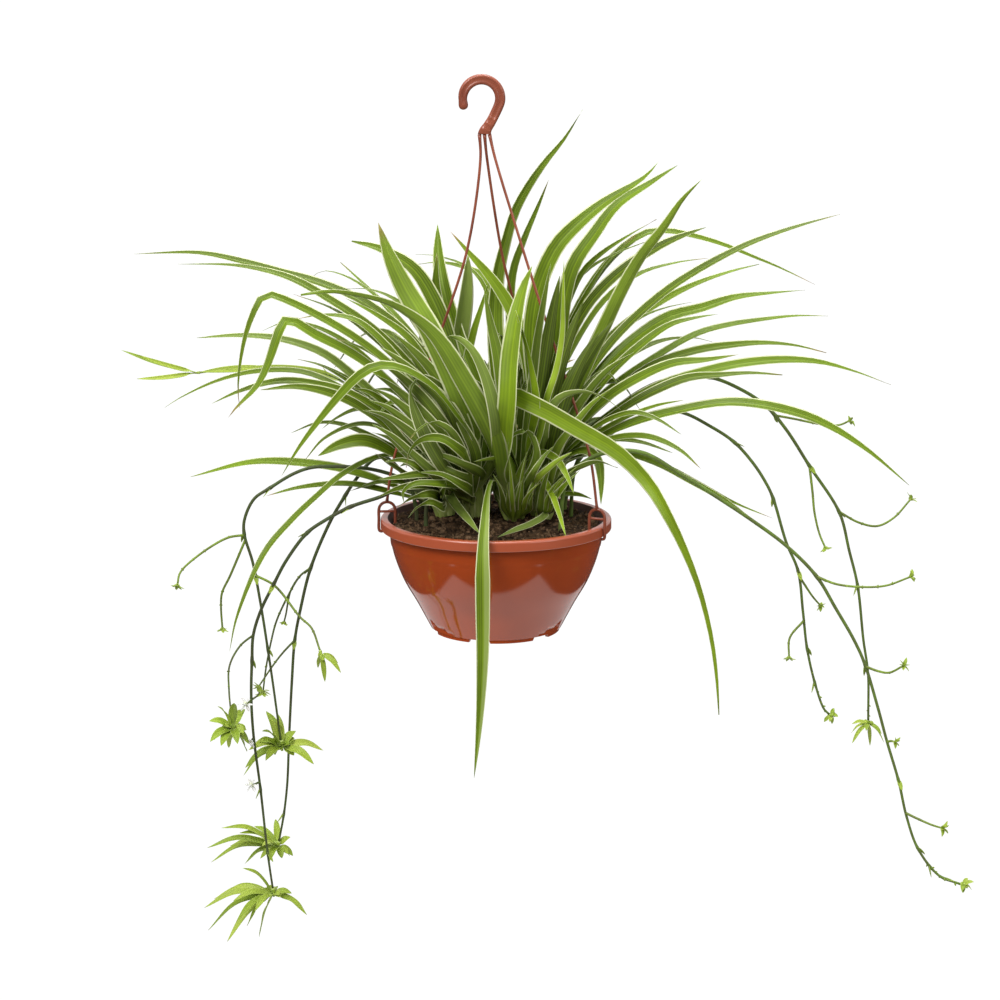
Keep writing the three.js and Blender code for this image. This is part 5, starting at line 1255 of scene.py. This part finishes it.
# Runners: long stems with twigs, bracts, buds and tufts. foot is (across, depth) from the pot's axis,
# routes run outwards on the front view, and depth is that of the end.
def twig(depth, *route, **more):
    return dict(more, depth=depth, route=list(route))


runners = {}
runners["left_upper"] = dict(
    fresh=(0.6, 0.9), foot=(-66, 60), depth=112, radius=1.3, endRadius=1,
    route=[(415, 460), (380, 410), (330, 376), (275, 368), (240, 369), (218, 370.5), (200, 372.5)],
    twigs=[],
    bracts=[(330, 376), (275, 368)],
    straps=[((345, 385), (226, 369.5), 7.5), ((262, 368), (196, 372.5), 8)],
)

runners["left_long"] = dict(
    fresh=(0.25, 0.35), foot=(-80, 14), depth=-10, radius=1.9, endRadius=1,
    route=[(408, 482), (393, 475), (370, 469), (340, 466.5), (311, 467.7), (293, 474), (270, 488),
           (254, 499), (244.4, 520), (244.2, 534), (252.6, 562), (261, 606), (268, 650.5), (272.2, 678.5),
           (280.7, 740)],
    twigs=[
        twig(-45, (243.5, 535), (227, 538), (195, 558), (180, 573), (177.5, 584.5), tuft=8),
        twig(15, (244, 540), (230, 576), (222, 593), (221, 607), (222.4, 628), tuft=8),
        twig(-60, (256, 575), (275, 586), (300, 617), (311.5, 628), (320, 650.5)),
    ],
    bracts=[(270, 488), (244.2, 534), (256, 575), (268, 650)],
)

runners["left_low"] = dict(
    twigTint=(0.3, 0.1, 0, 1), twigWide=0.85, fresh=(0.2, 0.3), foot=(-70, -14), depth=-50, radius=1.9,
    endRadius=1,
    route=[(424, 494), (400, 489), (380, 497), (350, 507), (325.6, 520), (307, 533), (286, 561),
           (273.6, 584.5), (261, 610), (253.3, 635), (252, 660), (251.2, 695), (253.3, 733), (260.6, 790),
           (267.5, 852), (272.7, 888)],
    twigs=[
        twig(-75, (253.3, 635), (240, 646), (229.5, 666), (229, 690), (232, 722)),
        twig(-30, (251.8, 700), (257, 696), (260, 692), tuft=11),
        twig(-62, (251.4, 700), (248, 703), (246, 704)),
        twig(-40, (253.6, 738), (252.5, 739), (251.5, 740)),
        twig(-64, (258, 782), (255, 784), (252, 785)),
    ],
    bracts=[(350, 507), (307, 533), (273.6, 584.5), (252, 660), (260.6, 790), (267.5, 852)],
)

runners["left_inner"] = dict(
    twigTint=(0.3, 0.1, 0, 1), twigWide=0.85, fresh=(0.2, 0.35), foot=(-74, 50), depth=35, radius=1.9,
    endRadius=1,
    route=[(400, 470), (386, 458), (374, 459), (354, 482), (345, 496), (331, 520), (310.8, 567.7),
           (300.3, 610), (294.7, 640.7), (291.9, 681), (289, 740), (287.3, 783), (283.9, 814), (279, 841)],
    twigs=[
        twig(60, (310.8, 567.7), (300, 576), (289, 594), (276.5, 621), (271, 642), (266, 668), (263, 692),
             tuft=9),
        twig(10, (294.7, 640.7), (283.5, 652), (274, 664), (259, 686), tuft=9),
        twig(50, (310.8, 567.7), (300, 576), (291, 590), (288, 602), (286, 614), (284, 622), tuft=6),
    ],
    bracts=[(345, 496), (310.8, 567.7), (294.7, 640.7), (289, 740), (283.9, 814)],
)

runners["right_long"] = dict(
    nubs=5, fresh=(0.75, 0.8), foot=(70, 58), depth=88, radius=2.1, endRadius=1.1,
    route=[(582, 452), (620, 405), (665, 380), (708, 377), (742, 390), (766.4, 406.5), (786.3, 429.7),
           (809.5, 466), (839.4, 512.6), (849.3, 551), (857.6, 585.6), (863.4, 640), (868, 673),
           (868.2, 720)],
    twigs=[
        twig(105, (774.7, 415), (795, 419), (819.5, 424), (839, 425), (849, 421), tuft=8),
        twig(55, (810, 466), (812.5, 492), (814.5, 512.6), (819.5, 534), (825, 547), tuft=9),
        twig(110, (839.4, 512.6), (859, 522.6), (877.5, 526), (894, 517.6), (910, 500), tuft=9),
    ],
    bracts=[(708, 377), (774.7, 415), (810, 466), (839.4, 512.6), (857.6, 585.6)],
)

runners["right_inner"] = dict(
    nubs=9, fresh=(0.6, 0.7), foot=(76, 30), depth=36, radius=1.9, endRadius=1.1,
    route=[(578, 462), (620, 428), (655, 412), (681.7, 412.5), (710.7, 426.5), (734, 442), (753, 463),
           (766, 483), (773, 498), (786.3, 542.5), (798, 570.7), (803, 612), (807, 648), (814.6, 682),
           (824, 709), (829, 714)],
    twigs=[
        twig(58, (799, 577), (813, 597), (820, 605), tuft=7),
        twig(10, (803.5, 621), (789.7, 638), (789, 657), tuft=8),
    ],
    bracts=[(734, 442), (773, 498), (798, 570.7), (807, 648), (814.6, 682)],
)

runners["right_low"] = dict(
    nubs=9, fresh=(0.8, 0.9), foot=(64, -42), depth=-120, radius=2.1, endRadius=1.1,
    route=[(568, 478), (598, 455), (640, 452), (682, 475), (720, 499), (753, 521), (786.3, 545.8),
           (816, 575.7), (836, 608.8), (854, 640), (864.4, 663), (877.7, 707), (887, 741.6), (898.8, 781.7),
           (906.4, 816), (918, 848.7), (939, 875.5), (960, 884)],
    twigs=[
        twig(-100, (816, 575.7), (836, 584), (862.6, 587), (886, 585.6), (910, 577), tuft=9),
        twig(-130, (866, 666), (877.7, 671), (889, 672.7), (903, 666), tuft=9),
        twig(-110, (887, 741.6), (891, 741), (895, 742), tuft=7),
        twig(-135, (906, 812), (916, 818), (932, 825), (942, 828), tuft=9),
    ],
    bracts=[(816, 575.7), (866, 666), (898.8, 781.7), (918, 848.7), (930, 866), (945, 878)],
)
stem = dict(sunk=11.7, wider=1.08, knot=0.32, knotLength=3.5, step=3.2, twigRadius=(1.35, 1.0), twigStep=2.6,
            budStep=15, nubStep=5.5, strapOff=(0, -1.3, 0.5))


def depthsAlong(places, start, end):
    walked = [0.0]
    for a, b in zip(places, places[1:]):
        walked.append(walked[-1] + math.dist(a, b))
    return [mixed(start, end, w / walked[-1]) for w in walked]


def runnerCourse(runner):
    x, y = pot["axis"] + runner["foot"][0], runner["foot"][1]
    top = soilTop(x, y)
    depths = depthsAlong(runner["route"], y, runner["depth"])
    outer = [seen(p, d) for p, d in zip(runner["route"], depths)]
    return Course([vec(x, y, top - stem["sunk"]), vec(x, y, top + 1), vec(x, y, top + 8), *outer])


def twigCourse(one, parent):
    start = parent.at(parent.shareAt(one["route"][0]))
    depths = depthsAlong(one["route"], start[1], one["depth"])
    return Course([start, *[seen(p, d) for p, d in zip(one["route"][1:], depths[1:])]])


spiral = 2.4  # radians from one small leaf to the next round a stem
bract = dict(length=11.0, width=5, fold=40, stations=10, lean=0.55, lift=0.2)
tuft = dict(leaves=6, width=4.0, fold=35, stations=8, thick=0.6, bend=((0.3, 0.35), (0.42, 0.95)))
bud = dict(sides=7, length=2.4, width=0.62,
           rows=[(0, 0.35), (0.25, 0.9), (0.5, 1.0), (0.75, 0.7), (0.95, 0.2)])
nudge = 1e-5  # keeps a heading steady where a leaf points straight across


def addTuft(skin, course, size, draw):  # small leaves that spread at a twig's end
    end, ahead = course.at(1), course.ahead(1)
    side = unit(np.cross(vec(0, 0, 1), ahead) + vec(1e-4, 0, 0))
    up = np.cross(ahead, side)
    for k in range(tuft["leaves"]):
        turn = 2 * math.pi * k / tuft["leaves"] + draw.uniform(-0.3, 0.3)
        out = side * math.cos(turn) + up * math.sin(turn)
        length = size * draw.uniform(0.75, 1.05)
        line = [end + ahead * length * on + out * length * off for on, off in tuft["bend"]]
        addBlade(skin, Course([end - ahead * 0.8, *line], perSpan=8), tuft["width"],
                 math.atan2(out[1] + nudge, out[0]), fold=tuft["fold"], light=draw.uniform(0.3, 0.8),
                 stations=tuft["stations"], thick=tuft["thick"], shape="bract")


def addBract(skin, course, share, number, draw):
    start, ahead = course.at(share), course.ahead(share)
    heading = spiral * number
    out = unit(toward(heading, bract["lift"]) * bract["lean"] + ahead) * bract["length"]
    line = Course([start - ahead, start + out * 0.5, start + out], perSpan=6)
    addBlade(skin, line, bract["width"], heading, fold=bract["fold"], light=draw.uniform(0.3, 0.8),
             stations=bract["stations"], shape="bract")


def addBud(skin, middle, ahead, size):  # a small pointed bud
    normal = unit(np.cross(ahead, vec(0.3, 0.2, 1)))
    side = np.cross(ahead, normal)
    sides = bud["sides"]
    rings, places = [], []
    for share, wide in bud["rows"]:
        rings.append([middle + ahead * size * bud["length"] * share
                      + (normal * math.cos(t) + side * math.sin(t)) * size * bud["width"] * wide
                      for t in 2 * math.pi * np.arange(sides) / sides])
        places += [(k / sides, share) for k in range(sides)]
    skin.tube(rings, places, (0.7, 0.8, 0, 1))


def sideways(ahead, draw):
    return unit(np.cross(ahead, vec(draw.uniform(-1, 1), draw.uniform(-1, 1), 0.4)))


def addTwig(skin, leaves, one, course, runner, draw):
    line = twigCourse(one, course)
    wide = runner.get("twigWide", 1)
    steps = max(6, int(line.length / stem["twigStep"]))
    rings, places = ringsAlong(line, lambda s: mixed(*stem["twigRadius"], s) * wide, 8, steps)
    skin.tube(rings, places, runner.get("twigTint", (0.8, 0.45, 0, 1)))
    for k in range(1, int(line.length / stem["budStep"])):  # pairs of buds along it
        share = k * stem["budStep"] / line.length
        ahead = line.ahead(share)
        side = sideways(ahead, draw)
        for sign in (-1, 1):
            addBud(skin, line.at(share), unit(ahead + side * sign * 0.9), draw.uniform(0.9, 1.3))
    if "tuft" in one:
        addTuft(leaves, line, one["tuft"], draw)


def makeRunner(name, runner, number):
    draw = random.Random(40 + number)
    course = runnerCourse(runner)
    skin, leaves = Skin(), Skin()
    swell = [course.shareAt(p) for p in runner["bracts"]]

    def radius(share):
        knots = sum(math.exp(-((share - s) * course.length / stem["knotLength"]) ** 2) for s in swell)
        return mixed(runner["radius"], runner["endRadius"], share) * (stem["wider"] + stem["knot"] * knots)

    rings, places = ringsAlong(course, radius, 10, int(course.length / stem["step"]))
    skin.tube(rings, places, [(mixed(*runner["fresh"], p[1]), 0, 0, 1) for p in places])
    for one in runner["twigs"]:
        addTwig(skin, leaves, one, course, runner, draw)
    for k in range(runner.get("nubs", 0)):  # small buds close to its end
        share = 1 - (k + 1) * stem["nubStep"] / course.length
        ahead = course.ahead(share)
        side = sideways(ahead, draw)
        addBud(skin, course.at(share), unit(ahead * 0.6 + side * (-1) ** k), draw.uniform(1.2, 1.7))
    for k, share in enumerate(swell):
        addBract(leaves, course, share, k, draw)
    for begin, end, width in runner.get("straps", []):  # long bracts that clasp the stem
        along = [course.shareAt(begin), course.shareAt(end)]
        line = [course.at(mixed(*along, t)) + stem["strapOff"] for t in np.linspace(0, 1, 6)]
        addBlade(leaves, Course(line, perSpan=8), width, math.pi, 62, fold=30, light=0.8, thick=0.6,
                 shape="bract", rollBy=0.1)
    pieceName = titled("runner", name)
    piece = place(skin.build(pieceName, finishes["stem"]), "runner_green", "runner_" + name)
    place(leaves.build(pieceName + "Bracts", finishes["plantlet"]), "plantlet_green")
    return piece


for number, (name, runner) in enumerate(runners.items()):
    makeRunner(name, runner, number)
print("runners made")


# Plantlets: rosettes at the ends of runners and twigs. tips are on the front view, reach is how far
# their leaves come forward and back, and more adds leaves that point those ways.
plantlets = {
    "left_bract": dict(on=["left_upper"], reach=14, width=5.5, roll=70, arch=-0.02, more=0, young=0,
        tips=[(136, 379), (121, 350), (141, 356)]),
    "left_a": dict(on=["left_low", 0], reach=26, width=10, more=3, young=15, tips=[(209, 721), (214, 740),
        (221, 746), (247, 751.5), (217.6, 706), (245, 709), (249, 744), (234, 703), (229, 748)]),
    "left_b": dict(on=["left_long"], reach=26, width=10, more=2, young=11, tips=[(245, 768), (243.4, 775.6),
        (248.5, 750), (323.5, 750.6), (314, 764.4), (266, 711), (271, 719), (262, 731), (296, 731),
        (278, 714), (256, 742)]),
    "left_c": dict(on=["left_inner"], reach=28, width=8, more=1, tips=[(207, 848), (210.7, 862.5),
        (221, 828), (244.6, 864), (239, 833), (275.6, 819), (290.5, 837), (262, 846), (230, 846),
        (254, 826)]),
    "left_d": dict(on=["left_low"], reach=30, width=8, more=2, tips=[(204, 908), (208, 930.6), (227, 942),
        (259, 937), (242.5, 868), (221, 895), (307, 915), (236, 922), (247, 926), (214, 899), (233, 901)]),
    "left_e": dict(on=["left_long", 2], reach=12, width=6, more=0, young=3, tips=[(325, 682), (318, 668),
        (341, 673), (338, 663)]),
    "right_a": dict(on=["right_inner"], reach=10, width=5, more=1, tips=[(824, 722), (832, 724), (838, 717),
        (834, 708)]),
    "right_b": dict(on=["right_long"], reach=14, width=5, more=1, tips=[(852, 724), (851, 733),
        (852, 743.5), (884, 742.5), (881.6, 734), (870, 746)]),
    "right_c": dict(on=["right_low"], reach=9, width=5, more=1, tips=[(974, 882), (972, 890), (963, 893),
        (968, 878)]),
}


def endOf(on):
    runner = runners[on[0]]
    course = runnerCourse(runner)
    return twigCourse(runner["twigs"][on[1]], course) if len(on) > 1 else course


# What the plantlets share. core and heart are shares of a leaf's width, root and bend of its length.
rosette = dict(core=1.1, heart=0.55, coreWide=(0.3, 0.12), root=0.2, bend=0.55, arch=0.14, narrow=0.95,
               roll=38, fold=30, stations=18, thick=0.6, young=7)
swings = [-0.3, 0.75, -0.85, 0.45, -0.6, 0.95, 0.1, -1, 0.3, 0.6, -0.5]  # how far forward or back tips are


def makePlantlet(name, plantlet, number):
    draw = random.Random(70 + number)
    line = endOf(plantlet["on"])
    ahead = line.ahead(1)
    start = line.at(1) + ahead * 0.3
    width, reach, more = plantlet["width"], plantlet["reach"], plantlet["more"]
    coreLength = width * rosette["core"]
    heart = start + ahead * coreLength * rosette["heart"]
    skin = Skin()
    core = Course([start, start + ahead * coreLength])
    skin.tube(*ringsAlong(core, lambda s: width * mixed(*rosette["coreWide"], s), 10, 6), (0.6, 0, 0, 1))

    def leafTo(tip, light):
        heading = math.atan2(tip[1] - heart[1], tip[0] - heart[0])
        far = np.linalg.norm(tip - heart)
        root = heart + (tip - heart) * width * rosette["root"] / far
        middle = heart + (tip - heart) * rosette["bend"]
        middle[2] += far * plantlet.get("arch", rosette["arch"])
        addBlade(skin, Course([root, middle, tip], perSpan=10), width * rosette["narrow"], heading,
                 plantlet.get("roll", rosette["roll"]) * abs(math.cos(heading)), fold=rosette["fold"],
                 light=light, stations=rosette["stations"], thick=rosette["thick"], shape="young",
                 wave=draw.uniform(-0.8, 0.8), dry=draw.uniform(0, 0.4), rollBy=0.2)

    for tip, swing in zip(plantlet["tips"], swings):
        leafTo(seen(tip, heart[1] + reach * swing), draw.uniform(0.35, 0.95))
    for i in range(more):
        turn = math.pi * (0.5 if i % 2 else -0.5) + 0.5 * (i - more / 2)
        leafTo(heart + toward(turn, -0.25) * reach * 1.15, draw.uniform(0.3, 0.8))
    for i in range(plantlet.get("young", rosette["young"])):  # short leaves round its heart
        turn = spiral * i + draw.uniform(-0.4, 0.4)
        out = vec(math.cos(turn), 0.6 * math.sin(turn), draw.uniform(-0.9, 0.5))
        leafTo(heart + out * reach * draw.uniform(0.35, 0.7), draw.uniform(0.3, 1))
    piece = skin.build(titled("plantlet", name), finishes["plantlet"])
    return place(piece, "plantlet_green", "plantlet_" + name)


for number, (name, plantlet) in enumerate(plantlets.items()):
    makePlantlet(name, plantlet, number)
print("plantlets made")


# Flowers: white stars of six petals on short stalks
flowers = dict(
    upper=dict(on=["left_low", 2], petal=8.0),
    middle=dict(on=["left_low", 3], petal=7.5),
    lower=dict(on=["left_low", 4], petal=7.0),
)
star = dict(petals=6, width=5.6, fold=22, stations=8, thick=0.5, stalk=2.6, heart=1.6, stamen=(0.8, 2.6),
            bend=((0.55, 0.12), (1, 0.3)))


def makeFlower(name, flower, number):
    draw = random.Random(90 + number)
    line = endOf(flower["on"])
    ahead = line.ahead(1)
    start = line.at(1) + ahead * 0.3
    heart = start + ahead * star["heart"]
    side = unit(np.cross(vec(0, 0, 1), ahead))
    up = np.cross(ahead, side)
    size = flower["petal"]
    skin = Skin()
    skin.tube(*ringsAlong(Course([start, start + ahead * star["stalk"]]), lambda s: mixed(1.0, 0.7, s), 8, 3))
    for k in range(star["petals"]):
        turn = 2 * math.pi * k / star["petals"] + draw.uniform(-0.06, 0.06)
        out = side * math.cos(turn) + up * math.sin(turn)
        line = [heart + out * size * off + ahead * size * on for off, on in star["bend"]]
        addBlade(skin, Course([heart + out * 0.6, *line], perSpan=8), star["width"],
                 math.atan2(out[1] + nudge, out[0]), fold=star["fold"], stations=star["stations"],
                 thick=star["thick"], shape="petal")
        off, on = star["stamen"]
        stamen = Course([heart, heart + out * off + ahead * on], perSpan=4)
        skin.tube(*ringsAlong(stamen, lambda s: mixed(0.22, 0.4, s), 6, 4))
    return place(skin.build(titled("flower", name), finishes["petal"]), "flower_white", "flower_" + name)


for number, (name, flower) in enumerate(flowers.items()):
    makeFlower(name, flower, number)
print("flowers made")


# Stage: a pale floor, a pale surround and soft lights. board is the middle and the reach, in metres, of
# the white board that glossy things see under the pot; the room is dimmer past its edges.
stage = dict(
    floor=-1.28, size=60.0, board=dict(X=(0.014, 0.8), Y=(0.6, 1.175)), boardSoft=0.02, boardGlow=(0.06, 0.9),
    bounce=0.55, white=1.05, surround=0.36, room=(0.07, 1.0), roomBack=(-0.15, 0.35), roomAbove=(0.25, 0.7),
    aim=(0.014, 0, -0.4),
    lights=dict(  # place, size and power
        keyLight=((-1.3, -1.9, 1.5), 1.6, 62.0),
        fillLight=((1.9, -1.5, 0.4), 1.5, 14.0),
        topLight=((0.1, 0.3, 1.9), 1.4, 46.0),
    ),
)


def choose(tree, share, a, b):
    node = nodeIn(tree, "Mix", data_type="FLOAT")
    for value, slot in ((share, 0), (a, 2), (b, 3)):
        feed(tree, value, node.inputs[slot])
    return node.outputs[0]


def makeFloor():
    half = stage["size"]
    mesh = bpy.data.meshes.new("studioFloor")
    corners = [(-half, -half, 0), (half, -half, 0), (half, half, 0), (-half, half, 0)]
    mesh.from_pydata(corners, [], [(0, 1, 2, 3)])
    floor = bpy.data.objects.new("studioFloor", mesh)
    floor.location.z = stage["floor"]
    bpy.context.scene.collection.objects.link(floor)
    material = bpy.data.materials.new("studioFloor")
    material.use_nodes = True
    tree = material.node_tree
    tree.nodes.clear()
    output = nodeIn(tree, "OutputMaterial")
    glow = nodeIn(tree, "Emission")
    diffuse = nodeIn(tree, "BsdfDiffuse")
    diffuse.inputs["Color"].default_value = (stage["bounce"],) * 3 + (1,)
    rays = nodeIn(tree, "LightPath").outputs
    parts = nodeIn(tree, "SeparateXYZ")
    tree.links.new(nodeIn(tree, "NewGeometry").outputs["Position"], parts.inputs[0])
    board = 1.0
    for axis, (middle, reach) in stage["board"].items():
        off = mathNode(tree, "ABSOLUTE", mathNode(tree, "SUBTRACT", parts.outputs[axis], middle))
        beyond = ramp(tree, off, reach - stage["boardSoft"], reach + stage["boardSoft"])
        board = mathNode(tree, "MULTIPLY", board, inverse(tree, beyond))
    seenGlow = choose(tree, rays["Is Glossy Ray"], stage["white"], between(tree, board, *stage["boardGlow"]))
    tree.links.new(seenGlow, glow.inputs["Strength"])
    mix = nodeIn(tree, "MixShader")
    tree.links.new(mathNode(tree, "MAXIMUM", rays["Is Camera Ray"], rays["Is Glossy Ray"]), mix.inputs[0])
    tree.links.new(diffuse.outputs[0], mix.inputs[1])
    tree.links.new(glow.outputs[0], mix.inputs[2])
    tree.links.new(mix.outputs[0], output.inputs["Surface"])
    mesh.materials.append(material)


def makeWorld():
    world = bpy.data.worlds.new("studio")
    world.use_nodes = True
    tree = world.node_tree
    tree.nodes.clear()
    output = nodeIn(tree, "OutputWorld")
    background = nodeIn(tree, "Background")
    rays = nodeIn(tree, "LightPath").outputs
    parts = nodeIn(tree, "SeparateXYZ")
    tree.links.new(nodeIn(tree, "TexCoord").outputs["Generated"], parts.inputs[0])
    bright = mathNode(tree, "MAXIMUM", ramp(tree, parts.outputs["Y"], *stage["roomBack"]),
                      ramp(tree, parts.outputs["Z"], *stage["roomAbove"]))
    strength = choose(tree, rays["Is Glossy Ray"], stage["surround"], between(tree, bright, *stage["room"]))
    strength = choose(tree, rays["Is Camera Ray"], strength, stage["white"])
    tree.links.new(strength, background.inputs["Strength"])
    background.inputs["Color"].default_value = (1, 1, 1, 1)
    tree.links.new(background.outputs[0], output.inputs["Surface"])
    bpy.context.scene.world = world


def makeLights():
    for name, (where, size, power) in stage["lights"].items():
        lamp = bpy.data.lights.new(name, "AREA")
        lamp.shape = "DISK"
        lamp.size = size
        lamp.energy = power
        light = bpy.data.objects.new(name, lamp)
        light.location = where
        light.rotation_euler = (Vector(stage["aim"]) - Vector(where)).to_track_quat("-Z", "Y").to_euler()
        bpy.context.scene.collection.objects.link(light)


makeFloor()
makeWorld()
makeLights()
bpy.context.scene.view_settings.view_transform = "Standard"
bpy.context.scene.view_settings.look = "None"
print("stage made")
